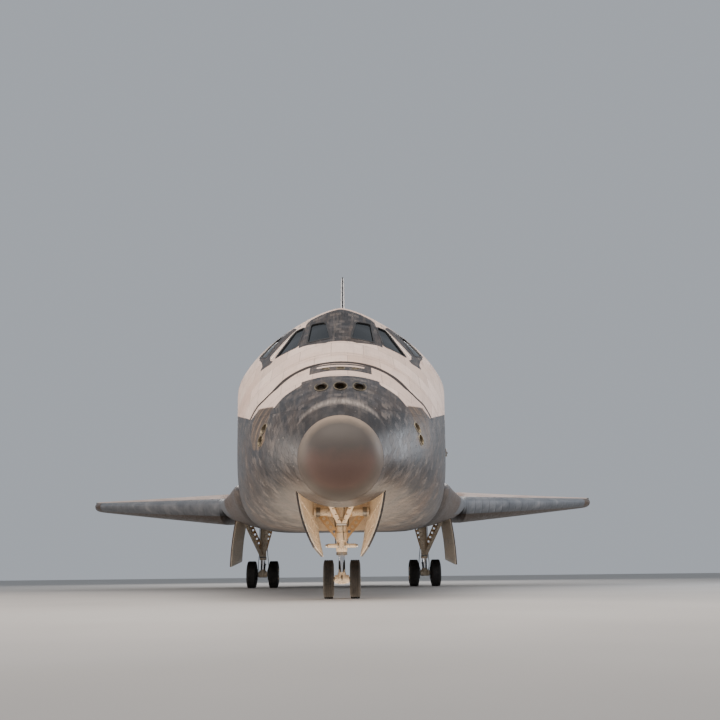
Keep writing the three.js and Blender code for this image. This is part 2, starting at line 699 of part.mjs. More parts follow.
function wing(body) {
  const glove = [ROOT_OUT, 2667, 3300, EDGE_START + 0.5].map((out) => wingRing(out, 0, shareAt(out)));
  const main = EDGE_OUTS.map((out) => wingRing(out, EDGE_DEPTH, shareAt(out)));
  const tipOuts = [TIP_START.out - 0.5, 11480, 11720, 11850, TIP.out - 2];
  const tip = tipOuts.map((out) => wingRing(out, 0, Math.SQRT1_2));
  const { from, to, inner, outer, roof } = MAIN_WELL;
  return without(
    joined(loft(glove), loft(main), loft(tip)),
    body,
    elevonSpace(),
    box([inner, outer], [from, to], [-4500, roof]),
  );
}

function leadingEdge() {
  const outs = [...EDGE_OUTS];
  outs[0] += 2;
  outs[outs.length - 1] -= 2;
  return loft(outs.map((out) => edgeRing(out, shareAt(out), EDGE_DEPTH - SEAT)));
}

function elevon({ from, to }) {
  const ring = (out) => {
    const radius = hingeHalf(out);
    const nose = [];
    for (let step = 0; step <= 12; step += 1) {
      const angle = degrees(90 + 15 * step);
      nose.push(hingePoint(out, radius * Math.cos(angle), radius * Math.sin(angle)));
    }
    const chord = trailAft(out) - HINGE_AFT;
    return [...nose, hingePoint(out, chord, -TRAIL_THICK / 2), hingePoint(out, chord, TRAIL_THICK / 2)];
  };
  return loft([ring(from), ring(to)]);
}

// Fin and rudder

const finHinge = (height) =>
  mix(FIN_ROOT.hinge, FIN_TIP.hinge, (height - FIN_ROOT.height) / (FIN_TIP.height - FIN_ROOT.height));
const finHalf = (height) =>
  mix(RUDDER.footHalf, RUDDER.topHalf, (height - RUDDER.foot) / (RUDDER.top - RUDDER.foot));
const HINGE_FOOT = point(0, finHinge(RUDDER.foot), RUDDER.foot);
const HINGE_TOP = point(0, finHinge(RUDDER.top), RUDDER.top);
const HINGE_LENGTH = HINGE_FOOT.distanceTo(HINGE_TOP);
const HINGE_UP = HINGE_TOP.clone().sub(HINGE_FOOT).normalize();
const HINGE_BACK = point(0, HINGE_UP.z, -HINGE_UP.y);
const rudderPoint = (along, back, x) =>
  HINGE_FOOT.clone().addScaledVector(HINGE_UP, along).addScaledVector(HINGE_BACK, back).add(point(x, 0, 0));

// How far the fin's trailing edge lies behind the hinge line, square to it
function rudderChord(along) {
  const slope = (FIN_TIP.trail - FIN_ROOT.trail) / (FIN_TIP.height - FIN_ROOT.height);
  const start = rudderPoint(along, 0, 0);
  const trail = FIN_ROOT.trail + slope * (start.z - FIN_ROOT.height);
  return (trail - start.y) / (HINGE_BACK.y - slope * HINGE_BACK.z);
}

function coreRadius(along) {
  return RUDDER_CORE * mix(RUDDER.footHalf, RUDDER.topHalf, along / HINGE_LENGTH);
}

function rudderCone(radius, from, to, turn = 0) {
  const profile = [[0, 0], [0, radius(from)], [to - from, radius(to)], [to - from, 0]];
  return turned(rudderPoint(from, 0, 0), rudderPoint(to, 0, 0), profile, 24, turn);
}

function rudderCore() {
  const pin = 50;
  const end = HINGE_LENGTH;
  return turned(HINGE_FOOT, HINGE_TOP, [
    [SEAT, 0],
    [SEAT, pin],
    [RUDDER_GAP, pin],
    [RUDDER_GAP, coreRadius(0)],
    [end - RUDDER_GAP, coreRadius(end)],
    [end - RUDDER_GAP, pin],
    [end - SEAT, pin],
    [end - SEAT, 0],
  ], 24);
}

function speedbrake() {
  const ring = (along) => {
    const half = mix(RUDDER.footHalf, RUDDER.topHalf, along / HINGE_LENGTH);
    const chord = rudderChord(along);
    const front = half * 1.13;
    const outer = mix(half, RUDDER.trailHalf, front / chord);
    return [
      rudderPoint(along, coreRadius(along) * 0.85, 6),
      rudderPoint(along, chord, 6),
      rudderPoint(along, chord, RUDDER.trailHalf),
      rudderPoint(along, front, outer),
    ];
  };
  const panel = loft([ring(RUDDER_GAP), ring(HINGE_LENGTH - RUDDER_GAP)]);
  const bore = (along) => seatRadius(coreRadius(along));
  return panel.subtract(rudderCone(bore, -5, HINGE_LENGTH + 5, HALF_STEP));
}

function fin(body) {
  const ring = ({ height, lead, hinge, trail }) => {
    const half = finHalf(height);
    const side = (sign) => [
      point(sign * half * 0.35, mix(lead, hinge, 0.03), height),
      point(sign * half * 0.75, mix(lead, hinge, 0.3), height),
      point(sign * half, hinge, height),
      point(sign * RUDDER.trailHalf, trail, height),
    ];
    return [point(0, lead, height), ...side(1), ...side(-1).reverse()];
  };
  const space = (along) => [
    rudderPoint(along, RUDDER_FRONT, -400),
    rudderPoint(along, 4000, -400),
    rudderPoint(along, 4000, 400),
    rudderPoint(along, RUDDER_FRONT, 400),
  ];
  const front = (x) => [
    point(x, FIN_FRONT.foot, FIN_ROOT.height - 100),
    point(x, FIN_FRONT.foot, 2616),
    point(x, FIN_FRONT.top, FIN_FRONT.topHeight),
    point(x, FIN_FRONT.top - 3000, FIN_FRONT.topHeight),
    point(x, FIN_FRONT.top - 3000, FIN_ROOT.height - 100),
  ];
  const skirt = (x) => [
    point(x, FIN_SKIRT.aft, FIN_SKIRT.height),
    point(x, FIN_SKIRT.aft, FIN_SKIRT.height - 400),
    point(x, FIN_SKIRT.aft + 3000, FIN_SKIRT.height - 400),
    point(x, FIN_SKIRT.aft + 3000, FIN_SKIRT.height + 3000 * FIN_SKIRT.rise),
  ];
  return without(
    loft([ring(FIN_ROOT), ring(FIN_TIP)]),
    loft([space(0), space(HINGE_LENGTH)]),
    rudderCone((along) => coreRadius(along) + 8, RUDDER_GAP / 2, HINGE_LENGTH - RUDDER_GAP / 2),
    loft([front(-400), front(400)]),
    loft([skirt(-400), skirt(400)]),
    body,
  );
}

// Engines and pods

function mainEngine({ x, aft, height, pitch, splay }, body) {
  const away = point(Math.sin(degrees(splay)), Math.cos(degrees(splay)) * Math.cos(degrees(pitch)),
    Math.sin(degrees(pitch)));
  const start = point(x, aft, height);
  const inner = BELL.slice(1).map(([along, radius]) => [along, radius - BELL_WALL]).reverse();
  inner[0][0] = BELL_EXIT;
  const { from, to, radius } = BELL_COLLAR;
  const collar = [[from, 0], [from, radius], [to, radius], [to + 260, 420]];
  const bottom = BELL[0][0] + BELL_WALL;
  const profile = [...collar, ...BELL, ...inner, [bottom, BELL[0][1] - BELL_WALL], [bottom, 0]];
  return turned(start, start.clone().add(away), profile, 20).subtract(body);
}

function pod(body) {
  const rings = POD.map(({ aft, x, height, half, tall }) =>
    Array.from({ length: POD_SIDES }, (_, i) => {
      const angle = (2 * Math.PI * i) / POD_SIDES;
      return point(x + half * Math.cos(angle), aft, height + tall * Math.sin(angle));
    }),
  );
  return loft(rings).subtract(body);
}

function podBell() {
  const { x, aft, height, throat, exit, length, wall } = POD_BELL;
  const start = point(x, aft - 80, height);
  const shape = [[0, throat + 60], [250, throat], [700, mix(throat, exit, 0.66)], [length, exit]];
  const inside = [...shape].reverse().map(([along, radius]) => [along, radius - wall]);
  inside.pop();
  inside.push([240, 0]);
  return turned(start, start.clone().add(point(0.06, 1, 0.12)), [[0, 0], ...shape, ...inside], 16)
    .subtract(box([0, 4000], [aft - 1000, aft + SEAT], [0, 4000]));
}

// Landing gear

// A wheel pair's hubs, rims and axle, turned about X round the origin
function hubs({ width, apart, rim, axle }) {
  const inner = apart - width / 2;
  const outer = apart + width / 2;
  const end = outer + 12;
  const half = [
    [inner + 20, axle],
    [inner + 20, rim],
    [outer - 20, rim],
    [outer - 20, rim * 0.55],
    [end, rim * 0.45],
    [end, 0],
  ];
  const other = half.map(([along, radius]) => [-along, radius]).reverse();
  return turned(point(0, 0, 0), point(1, 0, 0), [...other, ...half], WHEEL_SIDES, Math.PI / WHEEL_SIDES);
}

// A tyre turned about X round the origin, with a flat of its tread at the bottom
function tyre({ radius, width, rim }) {
  const side = width / 2;
  const bead = rim + SEAT;
  const profile = [
    [-side + 20, bead],
    [-side, mix(bead, radius, 0.5)],
    [-side * 0.6, radius],
    [side * 0.6, radius],
    [side, mix(bead, radius, 0.5)],
    [side - 20, bead],
    [-side + 20, bead],
  ];
  return turned(point(0, 0, 0), point(1, 0, 0), profile, WHEEL_SIDES, Math.PI / WHEEL_SIDES);
}

const axleHeight = ({ radius }) => radius * Math.cos(Math.PI / WHEEL_SIDES);

// The bore that an axle turns in, a little wider than the axle's corners
function axleBore({ axle }, x, y, z, reach) {
  return rod(point(x - reach, y, z), point(x + reach, y, z), seatRadius(axle), 24);
}

// Half the length of a beam across the nose well, at a place in the floor's frame
function wellReach(y, z, beamRadius) {
  const pitch = degrees(PARKED_PITCH);
  const aft = (y - NOSE_Y) * Math.cos(pitch) + (z - BAY_AXIS_Z) * Math.sin(pitch);
  return wellHalf(aft + beamRadius) - SEAT;
}

function nosePiston() {
  const { y, foot } = NOSE_LEG;
  const z = axleHeight(NOSE_WHEEL);
  const { radius, fork } = NOSE_PISTON;
  return without(
    joined(
      rod(point(0, y, z - 20), point(0, y, foot - SEAT), radius, 16),
      box([-fork, fork], [y - 95, y + 95], [z - 90, z + 90]),
    ),
    axleBore(NOSE_WHEEL, 0, y, z, 400),
  );
}

function noseLeg() {
  const { y, radius, foot, top, arms, beam, beamRadius } = NOSE_LEG;
  const reach = wellReach(y, beam, beamRadius);
  const arm = (sign) => rod(point(0, y, arms), point(sign * (reach - 120), y, beam), 60, 10);
  return joined(
    rod(point(0, y, foot), point(0, y, top), radius, 16),
    arm(1),
    arm(-1),
    rod(point(-reach, y, beam), point(reach, y, beam), beamRadius, 12),
  );
}

function noseBrace(leg) {
  const { y, z, foot, beamRadius } = NOSE_BRACE;
  const reach = wellReach(y, z, beamRadius);
  const low = point(0, NOSE_LEG.y - NOSE_LEG.radius + 10, foot);
  const arm = (sign) => rod(low, point(sign * (reach - 330), y, z), 45, 10);
  return joined(arm(1), arm(-1), rod(point(-reach, y, z), point(reach, y, z), beamRadius, 12)).subtract(leg);
}

// The upright leg of a gear, a little thicker, for cutting what meets it
function legTool({ y, radius, top }, x) {
  return rod(point(x, y, 0), point(x, y, top), radius + SEAT, 16);
}

function mainLeg() {
  const { x, y, radius, top, arms, beam, beamRadius } = MAIN_LEG;
  const z = axleHeight(MAIN_WHEEL);
  const ends = [MAIN_WELL.inner + SEAT, MAIN_WELL.outer - SEAT];
  const arm = (end) => rod(point(x, y, arms), point(end, y, beam), 75, 10);
  return without(
    joined(
      rod(point(x, y, z + 600), point(x, y, top), radius, 16),
      rod(point(x, y, z), point(x, y, z + 620), radius * 0.75, 16),
      box([x - 190, x + 190], [y - 130, y + 130], [z - 130, z + 130]),
      arm(ends[0] + 130),
      arm(ends[1] - 130),
      rod(point(ends[0], y, beam), point(ends[1], y, beam), beamRadius, 12),
    ),
    axleBore(MAIN_WHEEL, x, y, z, 600),
  );
}

function mainBrace(leg) {
  const { y, z, foot } = MAIN_BRACE;
  const ends = [MAIN_WELL.inner + SEAT, MAIN_WELL.outer - SEAT];
  const low = point(MAIN_LEG.x, MAIN_LEG.y - MAIN_LEG.radius + 10, foot);
  const arm = (end) => rod(low, point(end, y, z), 60, 10);
  return joined(
    arm(ends[0] + 150),
    arm(ends[1] - 150),
    rod(point(ends[0], y, z), point(ends[1], y, z), 70, 12),
  ).subtract(leg);
}

function noseGearDoor() {
  const { from, to, hinge, edge, bulge, thick } = NOSE_DOOR;
  const ends = [from, to];
  return gearDoor({
    hinge: ends.map((aft, end) => [wellHalf(aft) - SEAT, aft, hinge[end]]),
    edge: ends.map((aft, end) => [edge[end][0], aft, edge[end][1]]),
    bulge,
    thick,
  });
}

function gearDoor({ hinge, edge, bulge, thick }) {
  const ring = (end) => {
    const top = point(...hinge[end]);
    const bottom = point(...edge[end]);
    const inward = point(bottom.z - top.z, 0, top.x - bottom.x).normalize();
    const middle = top.clone().lerp(bottom, 0.5).addScaledVector(inward, -bulge[end]);
    const outer = [top, middle, bottom];
    const inner = outer.map((p) => p.clone().addScaledVector(inward, thick));
    return [...outer, ...inner.reverse()];
  };
  return loft([ring(0), ring(1)]);
}

// The whole craft

const finish = {
  tile: { color: 0x34302f, roughness: 0.75, metalness: 0 },
  blanket: { color: 0xd9cdc6, roughness: 0.85, metalness: 0 },
  carbon: { color: 0x6f6a68, roughness: 0.55, metalness: 0 },
  glass: { color: 0x10161a, roughness: 0.1, metalness: 0 },
  metal: { color: 0x8a8580, roughness: 0.45, metalness: 0.8 },
  gear: { color: 0xd8c2ad, roughness: 0.5, metalness: 0.1 },
  rubber: { color: 0x161616, roughness: 0.9, metalness: 0 },
  interior: { color: 0x5c615c, roughness: 0.8, metalness: 0 },
};

function mesh(name, solid, look) {
  const made = new THREE.Mesh(geometryOf(solid), new THREE.MeshStandardMaterial(look));
  made.name = name;
  return made;
}

const shuttle = new THREE.Group();
const airframe = new THREE.Group();
airframe.position.set(0, NOSE_Y, BAY_AXIS_Z);
airframe.rotation.x = degrees(PARKED_PITCH);
shuttle.add(airframe);

const add = (name, solid, look) => airframe.add(mesh(name, solid, look));
const addPair = (name, solid, look) => {
  add(name + "_left", solid, look);
  add(name + "_right", mirrored(solid), look);
};

add("nose_cap", noseCap(), finish.carbon);
add("nose_section", noseSection(), finish.tile);
add("forward_thruster_module", thrusterModule(), finish.blanket);
const { shell, glass, deck, hatch } = cabin();
add("crew_cabin", shell, finish.blanket);
add("cabin_windows", glass, finish.glass);
add("flight_deck", deck, finish.interior);
add("instrument_panel", instrumentPanel(), finish.interior);
add("crew_seat_left", crewSeat(CREW_SEAT.x), finish.interior);
add("crew_seat_right", crewSeat(-CREW_SEAT.x), finish.interior);
add("crew_hatch", hatch, finish.blanket);
add("mid_fuselage", bayChannel(), finish.blanket);
addPair("payload_bay_door", bayDoor(), finish.blanket);
add("aft_fuselage", aftFuselage(), finish.blanket);
add("body_flap", bodyFlap(), finish.tile);

const BODY_RINGS = [...CABIN_RINGS, CABIN_END, ...BAY_RINGS, BAY_END, ...AFT_RINGS];
const bodyTool = fuselage(NOSE_END, 34000, -SEAT, BODY_RINGS);
addPair("wing", wing(bodyTool), finish.tile);
addPair("wing_leading_edge", leadingEdge(), finish.carbon);
ELEVONS.forEach((each) => addPair(each.name, elevon(each), finish.tile));

const largerAft = aftBody(SEAT);
add("vertical_stabilizer", fin(largerAft), finish.blanket);
add("rudder_core", rudderCore(), finish.metal);
addPair("speedbrake", speedbrake(), finish.blanket);
MAIN_ENGINES.forEach((engine) => add(engine.name, mainEngine(engine, largerAft), finish.metal));
addPair("manoeuvring_pod", pod(largerAft), finish.blanket);
addPair("pod_engine_bell", podBell(), finish.metal);
addPair("nose_gear_door", noseGearDoor(), finish.tile);
const mainDoorRoom = loft(EDGE_OUTS.slice(0, 2).map((out) =>
  wingRing(out, EDGE_DEPTH, shareAt(out)).map((p) => p.add(point(0, 0, -SEAT)))));
addPair("main_gear_door", gearDoor(MAIN_DOOR).subtract(mainDoorRoom), finish.tile);

// Gear, upright in the floor's frame
const ground = (name, solid, look) => shuttle.add(mesh(name, solid, look));
ground("nose_gear_leg", noseLeg(), finish.gear);
ground("nose_gear_brace", noseBrace(legTool(NOSE_LEG, 0)), finish.gear);
ground("nose_gear_piston", nosePiston(), finish.gear);

function wheelSet(label, wheel, x, y) {
  const set = new THREE.Group();
  set.position.set(x, y, axleHeight(wheel));
  set.add(mesh(label + "_wheel_hubs", hubs(wheel), finish.gear));
  [["left", 1], ["right", -1]].forEach(([side, sign]) => {
    const each = mesh(label + "_tyre_" + side, tyre(wheel), finish.rubber);
    each.position.x = sign * wheel.apart;
    set.add(each);
  });
  shuttle.add(set);
}
wheelSet("nose", NOSE_WHEEL, 0, NOSE_LEG.y);
wheelSet("main_left", MAIN_WHEEL, MAIN_LEG.x, MAIN_LEG.y);
wheelSet("main_right", MAIN_WHEEL, -MAIN_LEG.x, MAIN_LEG.y);
const leg = mainLeg();
const brace = mainBrace(legTool(MAIN_LEG, MAIN_LEG.x));
ground("main_gear_leg_left", leg, finish.gear);
ground("main_gear_leg_right", mirrored(leg), finish.gear);
ground("main_gear_brace_left", brace, finish.gear);
ground("main_gear_brace_right", mirrored(brace), finish.gear);

export default shuttle;
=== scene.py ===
# A winged space shuttle standing on its landing gear, seen from low in front of its nose.
# Metres. Row-frame points are +X to port, -Y towards the nose and +Z up, with the floor at Z = 0.
# Body points are x to port, aft of the nose tip and height above the load bay's centreline.
import json
import math

import bpy
import numpy as np
from mathutils import Matrix, Vector


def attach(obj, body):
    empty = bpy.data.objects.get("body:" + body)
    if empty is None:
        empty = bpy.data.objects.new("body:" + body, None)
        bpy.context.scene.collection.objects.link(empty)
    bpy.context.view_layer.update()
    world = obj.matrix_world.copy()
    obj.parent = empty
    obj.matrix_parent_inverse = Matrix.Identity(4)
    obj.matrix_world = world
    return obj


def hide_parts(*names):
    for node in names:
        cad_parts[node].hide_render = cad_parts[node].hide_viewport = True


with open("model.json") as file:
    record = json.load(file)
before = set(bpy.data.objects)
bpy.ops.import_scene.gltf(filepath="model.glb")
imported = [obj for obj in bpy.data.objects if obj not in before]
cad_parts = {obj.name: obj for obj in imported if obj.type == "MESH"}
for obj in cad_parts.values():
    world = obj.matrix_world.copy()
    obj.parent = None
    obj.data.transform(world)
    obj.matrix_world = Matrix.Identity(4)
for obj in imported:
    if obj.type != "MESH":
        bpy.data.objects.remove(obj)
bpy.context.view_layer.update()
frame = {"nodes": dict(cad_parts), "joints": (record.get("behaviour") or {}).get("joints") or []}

JOINTS = {joint["name"]: joint for joint in frame["joints"]}
DOOR_AXIS = JOINTS["payload_bay_door_left_hinge"]["axis"]
PITCH = math.atan2(DOOR_AXIS[2], DOOR_AXIS[1])
NOSE_TIP = np.array([0.0, -18.274, 4.156])

# Fuselage sections: aft, half width, heights of crown and keel, of the shoulder where the upper curve
# starts and of the widest level where the lower one does, and the two curves' powers
SECTIONS = np.array([
    (0.610, 0.800, -0.800, -2.400, -1.600, -1.600, 2.00, 2.00),
    (1.070, 1.130, -0.480, -2.510, -1.570, -1.570, 2.00, 2.05),
    (1.570, 1.425, -0.200, -2.630, -1.500, -1.500, 2.00, 2.15),
    (2.720, 1.930, 0.330, -2.855, -1.300, -1.300, 2.00, 2.60),
    (3.560, 2.160, 0.710, -2.965, -1.100, -1.100, 1.97, 3.10),
    (4.570, 2.360, 1.325, -3.030, -0.620, -0.830, 1.74, 3.70),
    (5.510, 2.490, 1.985, -3.060, -0.130, -0.540, 1.57, 4.40),
    (6.400, 2.590, 2.550, -3.080, 0.350, -0.250, 1.45, 5.00),
    (7.160, 2.650, 2.625, -3.095, 0.550, -0.050, 1.51, 5.50),
    (7.900, 2.667, 2.625, -3.115, 0.450, 0.000, 1.65, 6.00),
    (8.740, 2.680, 2.620, -3.140, 0.000, 0.000, 2.15, 6.50),
    (16.800, 2.680, 2.620, -3.290, 0.000, 0.000, 2.20, 10.0),
    (27.150, 2.680, 2.620, -3.380, 0.000, 0.000, 2.20, 12.0),
    (33.000, 2.680, 2.560, -3.180, 0.000, 0.000, 2.20, 12.0),
])
CAP_END = 0.61
NOSE_END = 4.0
CABIN_END = 8.74
BAY_END = 27.15
BASE_FOOT = 32.6
BASE_MIDDLE = 32.2
FLAP_HALF = 3.05
FLAP_MIDDLE = -2.86
BASE_LEAN = math.tan(math.radians(12))
SILL = 0.5
BAY_RADIUS = 2.36

# Wing outline, out from the centreline and aft of the nose tip
GLOVE = (2.667, 6.4)
KINK = (4.826, 20.015)
TIP_START = (11.176, 26.365)
TIP = (11.896, 28.88)
ROOT_OUT = 2.35
HINGE_AFT = 29.185
EDGE_START = 3.95
EDGE_DEPTH = 0.33
TRAIL_AFT = 32.694
TRAIL_RUN = 0.17733
TRAIL_THICK = 0.05
DIHEDRAL = math.tan(math.radians(5.2))
WING_LIFT = 0.06
# Out, thickness, height of the leading edge over the lower surface, and how far its curve runs
WING_THICKNESS = np.array([(2.35, 1.5, 1.0, 2.0), (4.826, 1.3, 0.8, 2.0), (11.176, 0.53, 0.31, 1.0),
                           (11.896, 0.43, 0.24, 0.7)])
HINGE_HALF = (0.306, 0.119)
UPPER_LIP = 0.6  # how far ahead of the hinge the skin ends, in nose radii
LOWER_LIP = 0.36
CREST_AFT = (23.2, 28.3)
ELEVONS = {"inboard_elevon": (2.81, 7.899), "outboard_elevon": (7.95, 11.354)}

# Fin and rudder in the plane of symmetry, as aft and height
FIN_ROOT = {"height": 2.5, "lead": 26.351, "hinge": 30.475, "trail": 33.217}
FIN_TIP = {"height": 10.635, "lead": 34.493, "hinge": 36.144, "trail": 37.236}
RUDDER_FOOT = 4.597
RUDDER_TOP = 9.703
RUDDER_HALF = (0.2, 0.11)
RUDDER_TRAIL_HALF = 0.055


# Small tools for numbers

def mix(a, b, share):
    """The value a share of the way from one to the other."""
    return a + (b - a) * share


def smooth(table, place, column):
    """Cubic through a table's column whose slope at a row is the weighted harmonic mean of those beside it."""
    x, y = table[:, 0], table[:, column]
    gap = np.diff(x)
    slope = np.diff(y) / gap
    before, after = slope[:-1], slope[1:]
    a = 2 * gap[1:] + gap[:-1]
    b = gap[1:] + 2 * gap[:-1]
    with np.errstate(divide="ignore", invalid="ignore"):
        inner = np.where(before * after > 0, (a + b) / (a / before + b / after), 0)
    tangent = np.concatenate([slope[:1], inner, slope[-1:]])
    i = np.clip(np.searchsorted(x, place, "right") - 1, 0, len(gap) - 1)
    t = (place - x[i]) / gap[i]
    u = 1 - t
    start = y[i] * u * u * (1 + 2 * t) + tangent[i] * gap[i] * t * u * u
    return start + y[i + 1] * t * t * (1 + 2 * u) - tangent[i + 1] * gap[i] * t * t * u


def placed(points):
    """Row-frame points from body points: turned down by the parked pitch and moved to the nose tip."""
    x, aft, height = np.moveaxis(np.asarray(points, float), -1, 0)
    c, s = math.cos(PITCH), math.sin(PITCH)
    return np.stack([x, aft * c - height * s, aft * s + height * c], -1) + NOSE_TIP


def in_body(points):
    """Body points from row-frame points."""
    x, y, z = np.moveaxis(np.asarray(points, float) - NOSE_TIP, -1, 0)
    c, s = math.cos(PITCH), math.sin(PITCH)
    return np.stack([x, y * c + z * s, z * c - y * s], -1)


def unit(vector):
    """Vectors scaled to a length of one."""
    vector = np.asarray(vector, float)
    return vector / np.linalg.norm(vector, axis=-1, keepdims=True)


def spread(start, end, step):
    """Even places from start to end, about a step apart."""
    return np.linspace(start, end, max(2, int(round((end - start) / step)) + 1))


def with_seams(places, seams, width):
    """The places with four more at each seam: its two lips and the two edges of its floor."""
    offsets = np.array([-0.5, -0.3, 0.3, 0.5]) * width
    extra = (np.asarray(seams)[:, None] + offsets).ravel()
    extra = extra[(extra > places[0]) & (extra < places[-1])]
    far = np.abs(places[:, None] - np.asarray(seams)[None, :]).min(1) > width
    far[[0, -1]] = True
    return np.sort(np.concatenate([places[far], extra]))


def seam_depth(places, seams, width, depth):
    """The depth of the grooves at each place: full within 0.4 widths of a seam, nothing elsewhere."""
    near = np.abs(np.asarray(places)[..., None] - np.asarray(seams)).min(-1)
    return np.where(near < 0.4 * width, depth, 0.0)


# Shapes: closed meshes as whole arrays

class Shape:
    """Points, faces of four and of three corners, and a length round and along the skin at each corner."""

    def __init__(self, points, quads, tris, quad_skin, tri_skin):
        self.points = points
        self.quads = quads
        self.tris = tris
        self.quad_skin = quad_skin
        self.tri_skin = tri_skin

    def moved(self, points):
        """The same faces on other points."""
        return Shape(points, self.quads, self.tris, self.quad_skin, self.tri_skin)

    def in_frame(self):
        """The shape moved from body points into the row frame."""
        return self.moved(placed(self.points))

    def volume(self):
        """Six times the volume inside, negative when the faces point inward."""
        a, b, c, d = (self.points[self.quads[:, k]] for k in range(4))
        total = np.einsum("ij,ij->", a, np.cross(b, c)) + np.einsum("ij,ij->", a, np.cross(c, d))
        if len(self.tris):
            a, b, c = (self.points[self.tris[:, k]] for k in range(3))
            total += np.einsum("ij,ij->", a, np.cross(b, c))
        return total

    def outward(self):
        """The same shape with its faces turned to point out of it."""
        if self.volume() > 0:
            return self
        return Shape(self.points, self.quads[:, ::-1], self.tris[:, ::-1], self.quad_skin[:, ::-1],
                     self.tri_skin[:, ::-1])


def skinned(rings, ends="fan", centred=False):
    """A closed shape over rows of points, each row a closed ring. Its two ends are closed by a fan round
    their middle, by a strip between the halves of the ring, or by joining the last ring to the first."""
    rings = np.asarray(rings, float)
    rows, size = rings.shape[:2]
    closed = np.concatenate([rings, rings[:, :1]], 1)
    skin_round = np.zeros((rows, size + 1))
    skin_round[:, 1:] = np.cumsum(np.linalg.norm(np.diff(closed, axis=1), axis=2), 1)
    if centred:
        skin_round -= skin_round[:, size // 2][:, None]
    skin_along = np.zeros((rows, size + 1))
    skin_along[1:] = np.cumsum(np.linalg.norm(np.diff(closed, axis=0), axis=2), 0)
    skin = np.stack([skin_round, skin_along], -1)
    r = np.arange(rows - 1)[:, None] * size
    i = np.arange(size)[None, :]
    j = (i + 1) % size
    quads = np.stack([r + i, r + j, r + size + j, r + size + i], -1).reshape(-1, 4)
    row = np.arange(rows - 1)[:, None]
    quad_skin = np.stack([skin[row, i], skin[row, i + 1], skin[row + 1, i + 1], skin[row + 1, i]],
                         2).reshape(-1, 4, 2)
    points = rings.reshape(-1, 3)
    tris = np.zeros((0, 3), int)
    tri_skin = np.zeros((0, 3, 2))
    last = (rows - 1) * size
    i, j = i[0], j[0]
    if ends == "loop":
        quads = np.concatenate([quads, np.stack([last + i, last + j, j, i], -1)])
        seam = np.stack([skin[-1, i], skin[-1, i + 1], skin[-1, i + 1], skin[-1, i]], 1)
        quad_skin = np.concatenate([quad_skin, seam])
    elif ends == "strip":
        k = np.arange(size // 2 - 1)
        first = np.stack([k + 1, k, size - 1 - k, size - 2 - k], -1)
        final = np.stack([k, k + 1, size - 2 - k, size - 1 - k], -1) + last
        quads = np.concatenate([quads, first, final])
        flat = np.stack([skin[0, k + 1], skin[0, k], skin[0, k] + [0, 0.02], skin[0, k + 1] + [0, 0.02]], 1)
        quad_skin = np.concatenate([quad_skin, flat, flat])
    else:
        middles = np.stack([rings[0].mean(0), rings[-1].mean(0)])
        points = np.concatenate([points, middles])
        first = np.stack([j, i, np.full(size, len(points) - 2)], -1)
        final = np.stack([last + i, last + j, np.full(size, len(points) - 1)], -1)
        tris = np.concatenate([first, final])
        reach = [np.linalg.norm(rings[e] - middles[e], axis=1).mean() for e in (0, -1)]
        flats = [np.stack([skin[e, i], skin[e, i + 1], mix(skin[e, i], skin[e, i + 1], 0.5) + [0, reach[e]]],
                          1) for e in (0, -1)]
        tri_skin = np.concatenate(flats)
    return Shape(points, quads, tris, quad_skin, tri_skin).outward()


CHAMFER = 0.004


def square_to(direction):
    """Two unit directions square to a direction and to each other."""
    direction = unit(direction)
    helper = np.eye(3)[np.argmin(np.abs(direction))]
    first = unit(np.cross(direction, helper))
    return first, np.cross(direction, first)


def turned(profile, start, direction, sides=32, ends="fan"):
    """A shape from pairs of distance along an axis and radius, turned round it."""
    direction = unit(direction)
    first, second = square_to(direction)
    angle = np.linspace(0, 2 * np.pi, sides, endpoint=False)
    around = np.cos(angle)[:, None] * first + np.sin(angle)[:, None] * second
    profile = np.asarray(profile, float)
    rings = np.asarray(start) + profile[:, 0, None, None] * direction + profile[:, 1, None, None] * around
    return skinned(rings, ends)


def tube(path, radius, sides=12):
    """A round bar along a path; its section stays square to the path."""
    path = np.asarray(path, float)
    tangent = unit(np.gradient(path, axis=0))
    helper = np.eye(3)[np.argmin(np.abs(path[-1] - path[0]))]
    first = unit(np.cross(tangent, helper))
    second = np.cross(tangent, first)
    angle = np.linspace(0, 2 * np.pi, sides, endpoint=False)[None, :, None]
    radius = np.broadcast_to(radius, len(path))[:, None, None]
    return skinned(path[:, None] + radius * (np.cos(angle) * first[:, None] + np.sin(angle) * second[:, None]))


def bar(start, end, radius, sides=16):
    """A straight round bar with a small chamfer at each end."""
    start, end = np.asarray(start, float), np.asarray(end, float)
    length = np.linalg.norm(end - start)
    inner = radius - CHAMFER
    profile = [(0, inner), (CHAMFER, radius), (length - CHAMFER, radius), (length, inner)]
    return turned(profile, start, end - start, sides)


def curve(points):
    """A smooth path through points: between two of them a cubic whose ends follow their neighbours."""
    points = np.asarray(points, float)
    slope = np.gradient(points, axis=0)
    t = np.linspace(0, 1, 8, endpoint=False)[None, :, None]
    a, b, m, n = points[:-1, None], points[1:, None], slope[:-1, None], slope[1:, None]
    body = (a * (1 + 2 * t) * (1 - t) ** 2 + m * t * (1 - t) ** 2
            + b * t * t * (3 - 2 * t) - n * t * t * (1 - t))
    return np.concatenate([body.reshape(-1, 3), points[-1:]])


